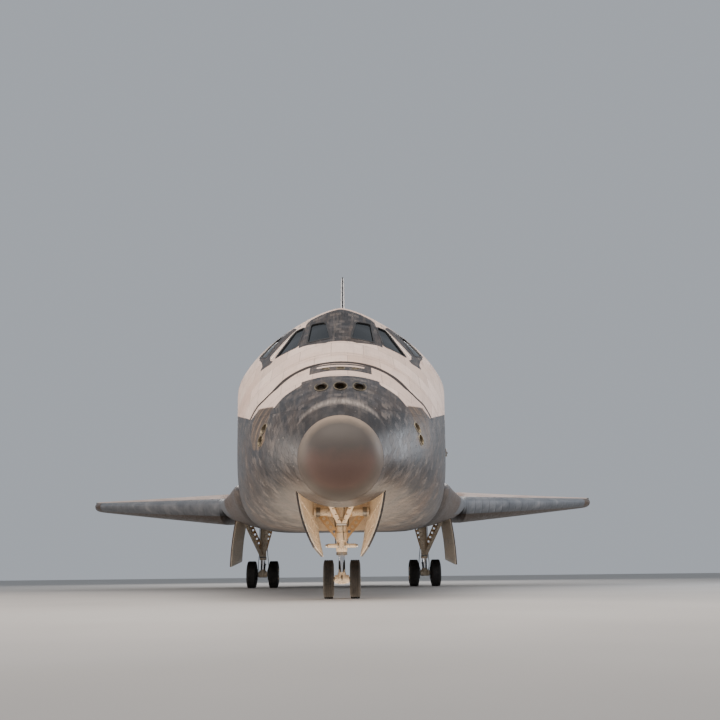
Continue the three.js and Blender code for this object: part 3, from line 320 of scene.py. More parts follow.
def block(low, high, radius=0.01, steps=3):
    """A box with rounded edges: a sphere's points, each pushed to the corner of the box that it faces."""
    low, high = np.minimum(low, high).astype(float), np.maximum(low, high).astype(float)
    middle, half = (low + high) / 2, (high - low) / 2
    radius = min(radius, half.min() * 0.95)
    quarter = np.linspace(0, np.pi / 2, steps + 1)
    turn = np.concatenate([quarter + k * np.pi / 2 for k in range(4)])
    sign_x = np.repeat([1, -1, -1, 1], steps + 1)
    sign_y = np.repeat([1, 1, -1, -1], steps + 1)
    rise = np.concatenate([-quarter[::-1], quarter])[:, None]
    sign_z = np.repeat([-1, 1], steps + 1)[:, None]
    ball = np.stack([np.cos(rise) * np.cos(turn), np.cos(rise) * np.sin(turn), np.sin(rise) + 0 * turn], -1)
    corner = np.stack(np.broadcast_arrays(sign_x, sign_y, sign_z), -1) * (half - radius)
    return skinned(middle + corner + radius * ball)


def slab(outline, depth, way):
    """A flat plate: an outline of points carried a depth along a way, its edges rounded off a little."""
    outline = np.asarray(outline, float)
    way = unit(way)
    middle = outline.mean(0)
    edge = min(0.3 * depth, 0.012)
    inset = middle + (outline - middle) * (1 - edge / np.linalg.norm(outline - middle, axis=1).mean())
    rings = [inset, outline + way * edge, outline + way * (depth - edge), inset + way * depth]
    return skinned(rings)


# Making objects

CREASE = math.radians(38)


def object_of(name, shapes):
    """One mesh object from pairs of a shape and its finish."""
    mesh = bpy.data.meshes.new(name)
    finishes = list(dict.fromkeys(look for _, look in shapes))
    first = np.cumsum([0] + [len(shape.points) for shape, _ in shapes])
    points = np.concatenate([shape.points for shape, _ in shapes])
    corners, sizes, looks, skins = [], [], [], []
    for start, (shape, look) in zip(first, shapes):
        for faces, skin in ((shape.quads, shape.quad_skin), (shape.tris, shape.tri_skin)):
            corners.append((faces + start).ravel())
            sizes.append(np.full(len(faces), faces.shape[1]))
            looks.append(np.full(len(faces), finishes.index(look)))
            skins.append(skin.reshape(-1, 2))
    corners, sizes, looks, skins = (np.concatenate(part) for part in (corners, sizes, looks, skins))
    mesh.vertices.add(len(points))
    mesh.vertices.foreach_set("co", points.astype(np.float32).ravel())
    mesh.loops.add(len(corners))
    mesh.loops.foreach_set("vertex_index", corners.astype(np.int32))
    mesh.polygons.add(len(sizes))
    starts = np.concatenate([[0], np.cumsum(sizes)[:-1]])
    mesh.polygons.foreach_set("loop_start", starts.astype(np.int32))
    for look in finishes:
        mesh.materials.append(look)
    mesh.polygons.foreach_set("material_index", looks.astype(np.int32))
    mesh.update(calc_edges=True)
    layer = mesh.uv_layers.new(name="skin")
    layer.data.foreach_set("uv", skins.astype(np.float32).ravel())
    mesh.validate()
    made = bpy.data.objects.new(name, mesh)
    bpy.context.scene.collection.objects.link(made)
    return made


def cut_by(made, cutter, operation, overlapping):
    """Takes a cutter's solid from an object's mesh, or keeps only what lies in it, and removes the cutter."""
    modifier = made.modifiers.new("cut", "BOOLEAN")
    modifier.operation = operation
    modifier.object = cutter
    modifier.solver = "EXACT"
    modifier.use_self = overlapping
    modifier.material_mode = "TRANSFER"
    bpy.context.view_layer.update()
    result = bpy.data.meshes.new_from_object(made.evaluated_get(bpy.context.evaluated_depsgraph_get()))
    made.modifiers.clear()
    made.data = result
    bpy.data.objects.remove(cutter)


def set_mark(made, name, function):
    """Stores a number at each point of a mesh, worked out from its body points."""
    mesh = made.data
    points = np.empty(len(mesh.vertices) * 3, np.float32)
    mesh.vertices.foreach_get("co", points)
    values = function(in_body(points.reshape(-1, 3)))
    mark = mesh.attributes.new(name, "FLOAT", "POINT")
    mark.data.foreach_set("value", np.asarray(values, np.float32))


def piece(name, shapes, body="airframe", replaces=(), cuts=(), marks=None):
    """A finished piece: its shapes joined, cut and marked, riding on its body."""
    made = object_of(name, shapes)
    for cutter, operation, overlapping in cuts:
        cut_by(made, cutter, operation, overlapping)
    for mark, function in (marks or {}).items():
        set_mark(made, mark, function)
    made.data.polygons.foreach_set("use_smooth", np.ones(len(made.data.polygons), bool))
    made.data.set_sharp_from_angle(angle=CREASE)
    hand_over(made, body, replaces)
    return made


def hand_over(made, body, replaces):
    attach(made, body)
    if replaces:
        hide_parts(*replaces)


def pair(name, shapes, body=None, replaces=(), cuts=(), marks=None):
    """A piece to port and its mirror image to starboard; body and nodes are named without their side."""
    bodies = [body + side if body else "airframe" for side in ("_left", "_right")]
    left = piece(name + "_left", shapes, bodies[0], [node + "_left" for node in replaces], cuts, marks)
    mesh = left.data.copy()
    mesh.name = name + "_right"
    mesh.transform(Matrix.Scale(-1, 4, (1, 0, 0)))
    mesh.flip_normals()
    right = bpy.data.objects.new(name + "_right", mesh)
    bpy.context.scene.collection.objects.link(right)
    hand_over(right, bodies[1], [node + "_right" for node in replaces])


def framed(shapes):
    """Pairs of a shape and its finish, each shape moved from body points into the row frame."""
    return [(shape.in_frame(), look) for shape, look in shapes]


def away(name, shapes, look, overlapping=False):
    """A cut that takes the shapes away and leaves a look on the new faces."""
    return object_of(name, [(shape, look) for shape in shapes]), "DIFFERENCE", overlapping


def within(name, shapes, look):
    """A cut that keeps only what lies in the shapes."""
    return object_of(name, [(shape, look) for shape in shapes]), "INTERSECT", False


# Finishes

def colour(red, green, blue):
    """A linear colour with full cover from a screen colour of 0 to 255."""
    screen = np.array([red, green, blue]) / 255
    linear = np.where(screen < 0.04045, screen / 12.92, ((screen + 0.055) / 1.055) ** 2.4)
    return (*linear.tolist(), 1.0)


class Finish:
    """A material in the making: each call adds a node and returns the socket that it gives."""

    def __init__(self, name, **settings):
        self.material = bpy.data.materials.new(name)
        self.material.use_nodes = True
        self.tree = self.material.node_tree
        self.shader = self.tree.nodes["Principled BSDF"]
        for socket, value in settings.items():
            self.shader.inputs[socket.replace("_", " ")].default_value = value

    def join(self, value, socket):
        """Wires a socket, or sets a plain value."""
        if isinstance(value, bpy.types.NodeSocket):
            self.tree.links.new(value, socket)
        else:
            socket.default_value = value

    def node(self, kind, inputs, **settings):
        """A new node with its settings and inputs filled in."""
        made = self.tree.nodes.new(kind)
        for name, value in settings.items():
            setattr(made, name, value)
        for socket, value in inputs.items():
            self.join(value, made.inputs[socket])
        return made

    def place(self, source="Object", scale=(1, 1, 1), shift=(0, 0, 0)):
        """Coordinates, scaled and shifted."""
        start = self.node("ShaderNodeTexCoord", {}).outputs[source]
        return self.node("ShaderNodeMapping", {"Vector": start, "Scale": scale, "Location": shift}).outputs[0]

    def mark(self, name):
        """The value of a mark that the mesh carries."""
        return self.node("ShaderNodeAttribute", {}, attribute_name=name).outputs["Fac"]

    def noise(self, place, scale, detail=4.0, rough=0.55):
        """Cloudy noise."""
        inputs = {"Vector": place, "Scale": scale, "Detail": detail, "Roughness": rough}
        return self.node("ShaderNodeTexNoise", inputs).outputs[0]

    def cells(self, place, scale, random):
        """The distance to the nearest of scattered cell centres."""
        inputs = {"Vector": place, "Scale": scale, "Randomness": random}
        return self.node("ShaderNodeTexVoronoi", inputs).outputs["Distance"]

    def tiling(self, place, width, height, gap, offset=0.5):
        """A number from 0 to 1 for each tile, and 1 in the gaps between them."""
        inputs = {"Vector": place, "Scale": 1.0, "Mortar Size": gap, "Mortar Smooth": 0.1,
                  "Brick Width": width, "Row Height": height, "Color1": (0, 0, 0, 1), "Color2": (1, 1, 1, 1),
                  "Mortar": (0.5, 0.5, 0.5, 1)}
        made = self.node("ShaderNodeTexBrick", inputs, offset=offset, offset_frequency=2)
        return made.outputs["Color"], made.outputs["Fac"]

    def sum(self, kind, first, second=0.0):
        """One step of arithmetic on two numbers."""
        return self.node("ShaderNodeMath", {0: first, 1: second}, operation=kind).outputs[0]

    def range(self, value, low, high, start=0.0, end=1.0):
        """A number brought from one range to another and held at its ends."""
        inputs = {"Value": value, "From Min": low, "From Max": high, "To Min": start, "To Max": end}
        return self.node("ShaderNodeMapRange", inputs).outputs[0]

    def ramp(self, value, *stops):
        """A colour for a number, by stops of place and colour."""
        made = self.node("ShaderNodeValToRGB", {"Fac": value})
        band = made.color_ramp
        for position, _ in stops[2:]:
            band.elements.new(position)
        for element, (position, shade) in zip(band.elements, stops):
            element.position = position
            element.color = shade
        return made.outputs[0]

    def blend(self, share, first, second):
        """A mix of two colours."""
        return self.node("ShaderNodeMix", {0: share, 6: first, 7: second}, data_type="RGBA").outputs[2]

    def number(self, share, first, second):
        """A mix of two numbers."""
        return self.node("ShaderNodeMix", {0: share, 2: first, 3: second}, data_type="FLOAT").outputs[0]

    def done(self, base=None, rough=None, height=None, metal=None):
        """Wires the results to the shader; the height is in metres."""
        for value, socket in ((base, "Base Color"), (rough, "Roughness"), (metal, "Metallic")):
            if value is not None:
                self.join(value, self.shader.inputs[socket])
        if height is not None:
            bump = self.node("ShaderNodeBump", {"Height": height, "Distance": 1.0, "Strength": 1.0})
            self.join(bump.outputs[0], self.shader.inputs["Normal"])
        return self.material


def tile_look(f):
    """Black tiles in rows: each its own shade in mottled patches, with gaps, pale specks and chips, wear
    drawn out along the flow, and browner out on the wings."""
    skin = f.place("UV", shift=(50.03, 20.07, 0))
    tile, gap = f.tiling(skin, 0.152, 0.152, 0.004, 0.5)
    patch = f.noise(skin, 3.2, 5.0, 0.75)
    streak = f.noise(f.place("UV", scale=(9, 0.9, 1), shift=(50, 20, 0)), 1.0, 5.0, 0.65)
    cloud = f.noise(f.place(), 1.3, 4.0, 0.6)
    grit = f.noise(skin, 42.0, 3.0, 0.7)
    blotch = f.sum("ADD", f.sum("MULTIPLY", tile, 0.35), f.sum("MULTIPLY", patch, 0.65))
    shade = f.ramp(blotch, (0.25, colour(24, 24, 27)), (0.45, colour(42, 41, 43)), (0.6, colour(62, 60, 62)),
                   (0.8, colour(104, 97, 92)))
    worn = f.blend(f.range(streak, 0.5, 0.78, 0, 0.5), shade, colour(118, 108, 100))
    brown = f.blend(f.range(cloud, 0.45, 0.75, 0, 0.45), worn, colour(82, 64, 50))
    side = f.sum("ABSOLUTE", f.node("ShaderNodeSeparateXYZ", {"Vector": f.place()}).outputs[0])
    outer = f.blend(f.range(side, 2.4, 3.2, 0, 0.55), brown, colour(104, 82, 64))
    speck = f.sum("LESS_THAN", f.cells(skin, 6.58, 0.55), 0.062)
    chip = f.sum("GREATER_THAN", grit, 0.7)
    marks = f.sum("MAXIMUM", f.sum("MULTIPLY", speck, 0.8), f.sum("MULTIPLY", chip, 0.4))
    dotted = f.blend(marks, outer, colour(178, 170, 162))
    base = f.blend(f.sum("MULTIPLY", gap, 0.75), dotted, colour(16, 15, 15))
    rough = f.range(f.sum("ADD", f.sum("MULTIPLY", streak, 0.6), f.sum("MULTIPLY", tile, 0.4)), 0.2, 0.8, 0.3,
                    0.56)
    proud = f.sum("MULTIPLY", tile, 0.0012)
    height = f.sum("ADD", f.sum("MULTIPLY", gap, -0.0025),
                   f.sum("ADD", proud, f.sum("MULTIPLY", grit, 0.0012)))
    return base, rough, height


def blanket_look(f):
    """Pale quilted blankets and white tiles: pinkish cream, a faint grid, brown scuffs and grey streaks."""
    skin = f.place("UV", shift=(50.03, 20.07, 0))
    panel, seam = f.tiling(skin, 0.75, 0.61, 0.006, 0.5)
    tile, gap = f.tiling(skin, 0.203, 0.203, 0.003, 0.5)
    streak = f.noise(f.place("UV", scale=(4, 0.5, 1)), 1.0, 6.0, 0.6)
    cloud = f.noise(f.place(), 0.8, 5.0, 0.6)
    grit = f.noise(skin, 30.0, 3.0, 0.7)
    shade = f.ramp(panel, (0.0, colour(196, 174, 163)), (0.5, colour(209, 188, 177)),
                   (1.0, colour(219, 199, 188)))
    fine = f.blend(f.range(tile, 0, 1, 0.0, 0.25), shade, colour(196, 174, 160))
    tan = f.blend(f.range(cloud, 0.5, 0.78, 0, 0.6), fine, colour(182, 150, 132))
    grey = f.blend(f.range(streak, 0.52, 0.8, 0, 0.55), tan, colour(160, 148, 142))
    lined = f.blend(f.sum("MULTIPLY", gap, 0.35), grey, colour(150, 134, 124))
    base = f.blend(f.sum("MULTIPLY", seam, 0.6), lined, colour(120, 106, 98))
    rough = f.range(grit, 0.3, 0.7, 0.62, 0.82)
    stitch = f.sum("MULTIPLY", f.sum("ADD", seam, f.sum("MULTIPLY", gap, 0.5)), -0.003)
    height = f.sum("ADD", stitch, f.sum("MULTIPLY", f.sum("ADD", grit, f.sum("MULTIPLY", cloud, 2.0)), 0.0012))
    return base, rough, height


def hull_finish(name, nose=False):
    """Tiles where the paint mark is above nought and blankets elsewhere, with dark lines from a second mark.
    The nose has three more: pale streaks over the cap, a dark collar next to it and brown side panels."""
    f = Finish(name, Specular_IOR_Level=0.5)
    tiles = tile_look(f)
    blankets = blanket_look(f)
    share = f.range(f.mark("dark"), -0.004, 0.004)
    line = f.range(f.mark("line"), -0.006, 0.006)
    base = f.blend(share, blankets[0], tiles[0])
    if nose:
        streak = f.noise(f.place("UV", scale=(14, 1.6, 1)), 1.0, 4.0, 0.7)
        pale = f.sum("MULTIPLY", f.range(f.mark("streaks"), -0.01, 0.09),
                     f.range(streak, 0.32, 0.62, 0.1, 0.85))
        base = f.blend(f.range(f.mark("collar"), -0.02, 0.03, 0, 0.5), base, colour(34, 32, 33))
        base = f.blend(pale, base, colour(158, 148, 140))
        band = f.noise(f.place(scale=(1, 14, 0.6)), 1.6, 4.0, 0.7)
        panel = f.ramp(band, (0.35, colour(40, 33, 28)), (0.55, colour(92, 74, 58)),
                       (0.7, colour(150, 122, 92)))
        base = f.blend(f.range(f.mark("panel"), -0.01, 0.02, 0, 0.75), base, panel)
    base = f.blend(line, base, colour(38, 30, 27))
    rough = f.number(share, blankets[1], tiles[1])
    height = f.sum("ADD", f.number(share, blankets[2], tiles[2]), f.sum("MULTIPLY", line, -0.006))
    return f.done(base, rough, height)


def tile_finish():
    """Black tiles alone."""
    f = Finish("tiles", Specular_IOR_Level=0.45)
    return f.done(*tile_look(f))


def blanket_finish():
    """White blankets alone."""
    f = Finish("blankets", Specular_IOR_Level=0.35)
    return f.done(*blanket_look(f))


def cap_finish():
    """The carbon cap: grey brown over its middle, reddish below, a tan rim and a dark foot."""
    f = Finish("cap_carbon", Specular_IOR_Level=0.32)
    parts = f.node("ShaderNodeSeparateXYZ", {"Vector": f.place()})
    up = f.sum("SUBTRACT", parts.outputs[2], 2.6)
    across = parts.outputs[0]
    away = f.sum("SQRT", f.sum("ADD", f.sum("MULTIPLY", up, up), f.sum("MULTIPLY", across, across)))
    cloud = f.noise(f.place(), 2.2, 5.0, 0.6)
    fine = f.noise(f.place(), 60.0, 3.0, 0.6)
    level = f.sum("ADD", up, f.sum("MULTIPLY", f.sum("SUBTRACT", cloud, 0.5), 0.4))
    middle = f.ramp(f.range(level, -0.8, 0.8), (0.0, colour(34, 28, 26)), (0.16, colour(86, 66, 60)),
                    (0.42, colour(96, 78, 72)), (0.6, colour(74, 68, 65)), (1.0, colour(72, 67, 63)))
    rim = f.ramp(f.range(level, -0.8, 0.8), (0.0, colour(32, 28, 26)), (0.3, colour(74, 65, 60)),
                 (0.7, colour(108, 98, 89)), (1.0, colour(138, 122, 107)))
    drift = f.sum("ADD", away, f.sum("MULTIPLY", f.sum("SUBTRACT", cloud, 0.5), 0.12))
    base = f.blend(f.range(drift, 0.58, 0.72), middle, rim)
    scuffed = f.blend(f.range(fine, 0.55, 0.8, 0, 0.3), base, colour(70, 62, 58))
    return f.done(scuffed, f.range(cloud, 0.3, 0.7, 0.48, 0.62), f.sum("MULTIPLY", fine, 0.0008))


def edge_finish():
    """The wing's hard leading edge: mid grey with rubbed pale patches."""
    f = Finish("edge_carbon", Specular_IOR_Level=0.5)
    cloud = f.noise(f.place(), 1.6, 5.0, 0.6)
    fine = f.noise(f.place(), 45.0, 3.0, 0.65)
    base = f.ramp(cloud, (0.3, colour(86, 90, 96)), (0.55, colour(114, 116, 120)),
                  (0.75, colour(144, 143, 144)))
    scuffed = f.blend(f.range(fine, 0.55, 0.8, 0, 0.4), base, colour(62, 64, 68))
    return f.done(scuffed, f.range(cloud, 0.3, 0.7, 0.4, 0.55), f.sum("MULTIPLY", fine, 0.0008))


def metal_finish(name, dark, pale, rough, scale=3.0, metal=1.0, grain=0.0004):
    """Metal whose shade and gloss drift over it, with a fine grain."""
    f = Finish(name, Metallic=metal)
    cloud = f.noise(f.place(), scale, 5.0, 0.6)
    fine = f.noise(f.place(), 55.0, 3.0, 0.65)
    base = f.ramp(f.sum("ADD", f.sum("MULTIPLY", cloud, 0.75), f.sum("MULTIPLY", fine, 0.25)), (0.3, dark),
                  (0.7, pale))
    return f.done(base, f.range(cloud, 0.3, 0.7, rough[0], rough[1]), f.sum("MULTIPLY", fine, grain))


def paint_finish(name, dark, pale, rough, chips=None, scale=2.5, grain=0.0005):
    """Paint with drifting shade, a light orange peel and small chips or grime."""
    f = Finish(name, Specular_IOR_Level=0.5)
    cloud = f.noise(f.place(), scale, 5.0, 0.6)
    fine = f.noise(f.place(), 38.0, 3.0, 0.65)
    base = f.ramp(cloud, (0.3, dark), (0.7, pale))
    if chips is not None:
        base = f.blend(f.range(f.sum("MULTIPLY", fine, f.sum("ADD", cloud, 0.5)), 0.52, 0.72, 0, 0.8), base,
                       chips)
    return f.done(base, f.range(fine, 0.3, 0.7, rough[0], rough[1]), f.sum("MULTIPLY", fine, grain))


def bell_finish():
    """The inside and outside of an engine bell: fine coolant tubes drawn along it, heat tint by patches."""
    f = Finish("bell_metal", Metallic=0.85)
    skin = f.place("UV", scale=(1, 0.02, 1))
    tubes = f.noise(skin, 60.0, 2.0, 0.5)
    cloud = f.noise(f.place(), 1.4, 5.0, 0.6)
    shade = f.ramp(cloud, (0.3, colour(58, 54, 52)), (0.5, colour(92, 84, 78)), (0.72, colour(128, 112, 98)))
    base = f.blend(f.range(tubes, 0.45, 0.6, 0, 0.45), shade, colour(36, 34, 34))
    return f.done(base, f.range(cloud, 0.3, 0.7, 0.34, 0.55), f.sum("MULTIPLY", tubes, 0.004))


def rubber_finish():
    """Tyre rubber: near black, dusty in patches, with a fine grain."""
    f = Finish("tyre_rubber", Specular_IOR_Level=0.35)
    cloud = f.noise(f.place(), 5.0, 5.0, 0.65)
    fine = f.noise(f.place(), 90.0, 3.0, 0.7)
    base = f.ramp(cloud, (0.35, colour(24, 23, 23)), (0.6, colour(40, 38, 37)), (0.8, colour(66, 61, 57)))
    return f.done(base, f.range(fine, 0.3, 0.7, 0.7, 0.9), f.sum("MULTIPLY", fine, 0.0008))


def glass_finish():
    """Thick window panes with a very slight smear; the dark base is painted shade for the unlit cabin behind.
    """
    f = Finish("window_pane", Base_Color=colour(30, 34, 38), Transmission_Weight=0.5, IOR=1.45)
    smear = f.noise(f.place(), 3.0, 4.0, 0.6)
    return f.done(None, f.range(smear, 0.3, 0.8, 0.02, 0.07), f.sum("MULTIPLY", smear, 0.0004))


def liner_finish():
    """Off-white quilted liner cloth with square stitching."""
    f = Finish("bay_liner", Specular_IOR_Level=0.3)
    skin = f.place("UV")
    panel, seam = f.tiling(skin, 0.5, 0.5, 0.008, 0.0)
    fine = f.noise(skin, 120.0, 3.0, 0.7)
    puff = f.noise(skin, 7.0, 3.0, 0.5)
    shade = f.ramp(panel, (0.0, colour(206, 203, 196)), (1.0, colour(226, 224, 218)))
    base = f.blend(f.sum("MULTIPLY", seam, 0.55), shade, colour(150, 146, 140))
    height = f.sum("ADD", f.sum("MULTIPLY", seam, -0.006),
                   f.sum("MULTIPLY", f.sum("ADD", fine, f.sum("MULTIPLY", puff, 6.0)), 0.0012))
    return f.done(base, f.range(fine, 0.3, 0.7, 0.75, 0.92), height)


def radiator_finish():
    """Silvered radiator panels: bright metal with fine square film strips."""
    f = Finish("radiator_film", Metallic=1.0)
    skin = f.place("UV")
    strip, joint = f.tiling(skin, 0.11, 1.4, 0.002, 0.5)
    cloud = f.noise(f.place(), 1.5, 4.0, 0.6)
    shade = f.ramp(strip, (0.0, colour(196, 198, 202)), (1.0, colour(222, 222, 224)))
    base = f.blend(f.sum("MULTIPLY", joint, 0.5), shade, colour(110, 110, 114))
    return f.done(base, f.range(cloud, 0.3, 0.7, 0.14, 0.28), f.sum("MULTIPLY", joint, -0.001))


HULL = hull_finish("hull")
NOSE_HULL = hull_finish("nose_hull", True)
TILES = tile_finish()
BLANKET = blanket_finish()
CAP = cap_finish()
EDGE = edge_finish()
BELL = bell_finish()
RUBBER = rubber_finish()
GLASS = glass_finish()
LINER = liner_finish()
RADIATOR = radiator_finish()
CREAM = paint_finish("gear_cream", colour(222, 204, 180), colour(240, 228, 208), (0.34, 0.5),
                     colour(128, 100, 72))
GOLD = metal_finish("golden_fitting", colour(176, 140, 98), colour(222, 190, 146), (0.3, 0.48), metal=0.6)
STEEL = metal_finish("bare_steel", colour(120, 118, 116), colour(176, 174, 170), (0.26, 0.42))
CHROME = metal_finish("polished_rod", colour(196, 196, 198), colour(226, 226, 228), (0.1, 0.2), grain=0.0001)
DARK_METAL = metal_finish("dark_metal", colour(48, 46, 45), colour(86, 82, 78), (0.4, 0.6), metal=0.8)
NOZZLE = metal_finish("nozzle_metal", colour(96, 88, 72), colour(142, 130, 108), (0.36, 0.52), scale=6.0,
                      metal=0.5)
# Near black for the wheels' ventilation holes: painted shade on discs that stand in for holes not cut
HOLE_SHADE = paint_finish("painted_hole_shade", colour(16, 15, 15), colour(34, 32, 31), (0.6, 0.8))
THROAT = paint_finish("thruster_throat", colour(58, 50, 38), colour(92, 80, 60), (0.5, 0.7))

FRAME = paint_finish("window_frame", colour(30, 29, 30), colour(52, 50, 50), (0.34, 0.5))
BRIGHT_FRAME = metal_finish("bright_frame", colour(168, 162, 154), colour(214, 208, 200), (0.24, 0.38))
PRIMER = paint_finish("green_primer", colour(134, 146, 118), colour(160, 168, 140), (0.45, 0.6),
                      colour(90, 84, 70))
CABIN_GREY = paint_finish("cabin_grey", colour(122, 126, 124), colour(150, 152, 148), (0.45, 0.6))
PANEL_BLACK = paint_finish("panel_black", colour(28, 29, 31), colour(44, 45, 47), (0.3, 0.45))
SEAT_CLOTH = paint_finish("seat_cloth", colour(60, 70, 84), colour(82, 92, 106), (0.8, 0.95), scale=20.0,
                          grain=0.002)
HOSE = paint_finish("hose_black", colour(26, 26, 27), colour(46, 45, 44), (0.4, 0.6))


# Fuselage surfaces

def skin_point(aft, angle, inset=0.0):
    """Points of the fuselage skin: at each place aft, a rounded curve over the shoulder and another under
    the widest level, each |x / half| ^ p + |height / reach| ^ p = 1 with its own power."""
    aft, angle = np.broadcast_arrays(np.asarray(aft, float), np.asarray(angle, float))
    half, crown, keel, shoulder, wide, over, under = (smooth(SECTIONS, aft, column) for column in range(1, 8))
    c, s = np.cos(angle), np.sin(angle)
    upper = s >= 0
    power = 2 / np.where(upper, over, under)
    level = np.where(upper, shoulder, wide)
    reach = np.where(upper, crown - inset, keel + inset) - level
    x = (half - inset) * np.sign(c) * np.abs(c) ** power
    return np.stack([x, aft, level + reach * np.abs(s) ** power], -1)


def length_along(points):
    """Distance from the first point to each point along a broken line."""
    return np.concatenate([[0], np.cumsum(np.linalg.norm(np.diff(points, axis=0), axis=1))])


def even_angles(aft, first, last, count):
    """Angles that share the length of one section's curve evenly between two given angles."""
    dense = np.linspace(first, last, 1441)
    length = length_along(skin_point(np.full(dense.shape, aft), dense))
    return np.interp(np.linspace(0, length[-1], count), length, dense)


def skin_grid(places, first, last, count, inset=0.0):
    """Rows of skin points, one row for each place aft, even in length along each row."""
    rows = []
    for aft in places:
        line = skin_point(aft, np.linspace(first, last, 2881), inset)
        length = length_along(line)
        even = np.linspace(0, length[-1], count)
        rows.append(np.stack([np.interp(even, length, line[:, axis]) for axis in range(3)], -1))
    return np.stack(rows)


def skin_rings(places, count, inset=0.0):
    """Whole rings of the skin, from the keel up the port side and down the starboard side."""
    return skin_grid(places, -np.pi / 2, 1.5 * np.pi, count + 1, inset)[:, :-1]


def sunk(rings, depth):
    """Rows of skin points moved straight in towards their section's middle level by a depth for each."""
    middle = np.stack([np.zeros(len(rings)), rings[:, 0, 1], smooth(SECTIONS, rings[:, 0, 1], 5)], -1)[:, None]
    inward = middle - rings
    inward[..., 0] = -np.sign(rings[..., 0]) * np.minimum(np.abs(rings[..., 0]), 1.0)
    inward[..., 1] = 0
    length = np.linalg.norm(inward, axis=-1, keepdims=True)
    return rings + inward / np.maximum(length, 1e-6) * np.asarray(depth)[..., None]


def along_line(table, place):
    """Height of a broken line, given as pairs, at a place."""
    pairs = np.asarray(table, float)
    return np.interp(place, pairs[:, 0], pairs[:, 1])


def depth_in(outline, first, second):
    """Distance of points from a closed outline, above nought inside it."""
    corners = np.asarray(outline, float)
    start, end = corners[:, None], np.roll(corners, -1, 0)[:, None]
    points = np.stack([first, second], -1)[None]
    edge = end - start
    arm = points - start
    share = np.clip((arm * edge).sum(-1) / (edge ** 2).sum(-1), 0, 1)
    near = np.linalg.norm(arm - share[..., None] * edge, axis=-1).min(0)
    crosses = (start[..., 1] > points[..., 1]) != (end[..., 1] > points[..., 1])
    with np.errstate(divide="ignore", invalid="ignore"):
        at = start[..., 0] + (points[..., 1] - start[..., 1]) / edge[..., 1] * edge[..., 0]
    inside = (crosses & (points[..., 0] < at)).sum(0) % 2 == 1
    return np.where(inside, near, -near)


def near_line(table, first, second, width):
    """How far inside a drawn line of a given width points lie."""
    corners = np.asarray(table, float)
    start, end = corners[:-1, None], corners[1:, None]
    points = np.stack([first, second], -1)[None]
    edge = end - start
    arm = points - start
    share = np.clip((arm * edge).sum(-1) / (edge ** 2).sum(-1), 0, 1)
    return width / 2 - np.linalg.norm(arm - share[..., None] * edge, axis=-1).min(0)


# Where black tiles meet white blankets: on the nose from above, and along the sides
NOSE_EDGE = [(0.0, 2.48), (0.82, 2.56), (0.825, 2.38), (1.02, 2.335), (1.19, 2.31), (1.35, 2.21), (1.42, 2.2),
             (3.0, 2.2)]
SIDE_EDGE = [(2.2, -0.47), (2.35, -0.45), (2.89, -0.42), (3.10, -0.63), (3.71, -0.53), (5.15, -0.33),
             (5.55, -0.30), (6.10, -0.55), (6.30, -1.25), (7.30, -1.30), (8.50, -1.75), (10.5, -2.30),
             (14.0, -2.75), (27.2, -2.85), (33.5, -2.75)]
WINDSCREEN_BLACK = [(-0.5, 4.60), (0.30, 4.64), (0.36, 4.61), (0.59, 4.70), (0.90, 4.84), (1.0, 4.84),
                    (0.98, 5.43), (0.90, 5.80), (0.84, 6.04), (0.76, 6.12), (0.46, 6.16), (-0.5, 6.20)]
SIDE_WINDOW_BLACK = [(1.10, 6.03), (1.31, 5.86), (1.54, 5.69), (1.72, 5.54), (1.70, 5.30), (1.62, 5.08),
                     (1.69, 5.02), (1.94, 5.24), (1.90, 5.42), (1.95, 5.75), (2.04, 6.10), (2.05, 6.50),
                     (1.96, 6.62), (1.58, 6.84), (1.45, 6.80), (1.20, 6.35)]
MODULE_EDGE = [(0.98, -0.62), (3.02, -0.62), (3.20, -0.58), (3.21, -0.32), (3.10, -0.20), (3.10, 0.0),
               (3.37, 0.35), (3.49, 0.60), (3.49, 1.3), (0.98, 1.3)]
JET_PANEL = [(2.28, -0.43), (3.0, -0.41), (2.75, -0.9), (2.4, -1.33), (1.97, -1.35), (1.81, -1.16),
             (2.07, -0.74)]


def hull_dark(points):
    """The black part of the fuselage: the nose ahead of its edge, the underside below the side edge, and
    the surrounds of the windows."""
    x, aft, height = np.abs(points[:, 0]), points[:, 1], points[:, 2]
    nose = along_line(NOSE_EDGE, x) - aft
    under = along_line(SIDE_EDGE, aft) - height
    front = np.where(height > 0.3, depth_in(WINDSCREEN_BLACK, x, aft), -1)
    side = np.where(height > 0.3, depth_in(SIDE_WINDOW_BLACK, x, aft), -1)
    return np.maximum.reduce([nose, under, front, side])


def module_dark(points):
    """As on the fuselage, with the black panel round the nozzles that point up."""
    x, aft = np.abs(points[:, 0]), points[:, 1]
    panel = np.minimum.reduce([0.67 - x, aft - 2.87, 3.40 - aft])
    strip = np.minimum.reduce([0.52 - x, aft - 3.19, 3.30 - aft])
    up = points[:, 2] > 0
    return np.maximum(hull_dark(points), np.where(up, np.minimum(panel, -strip), -1))


def hull_line(points):
    """The dark joint behind the thruster module."""
    return near_line(np.array(MODULE_EDGE[2:9]), points[:, 1], points[:, 2], 0.13)


def nose_streaks(points):
    """The pale band over the cap, narrowing to nothing at its two sides."""
    aft, height = points[:, 1], points[:, 2]
    return np.minimum(aft - 0.95, 1.23 + 0.47 * (height + 0.38) - aft)


def nose_collar(points):
    """The dark band between the cap and the pale one."""
    return np.minimum(0.95 - points[:, 1], (points[:, 2] + 1.5) * 0.5)


def jet_panel(points):
    """How deep in the outline of the side thrusters' panel a point lies, seen from the side."""
    return depth_in(JET_PANEL, points[:, 1], points[:, 2])


def none_of_it(points):
    """A mark that is nowhere on the piece."""
    return np.full(len(points), -1.0)


def marked(dark):
    """The two marks of a piece outside the nose: its black part, and no dark joint."""
    return {"dark": dark, "line": none_of_it}


HULL_MARKS = {"dark": hull_dark, "line": hull_line}
NOSE_MARKS = {"streaks": nose_streaks, "collar": nose_collar, "panel": jet_panel}


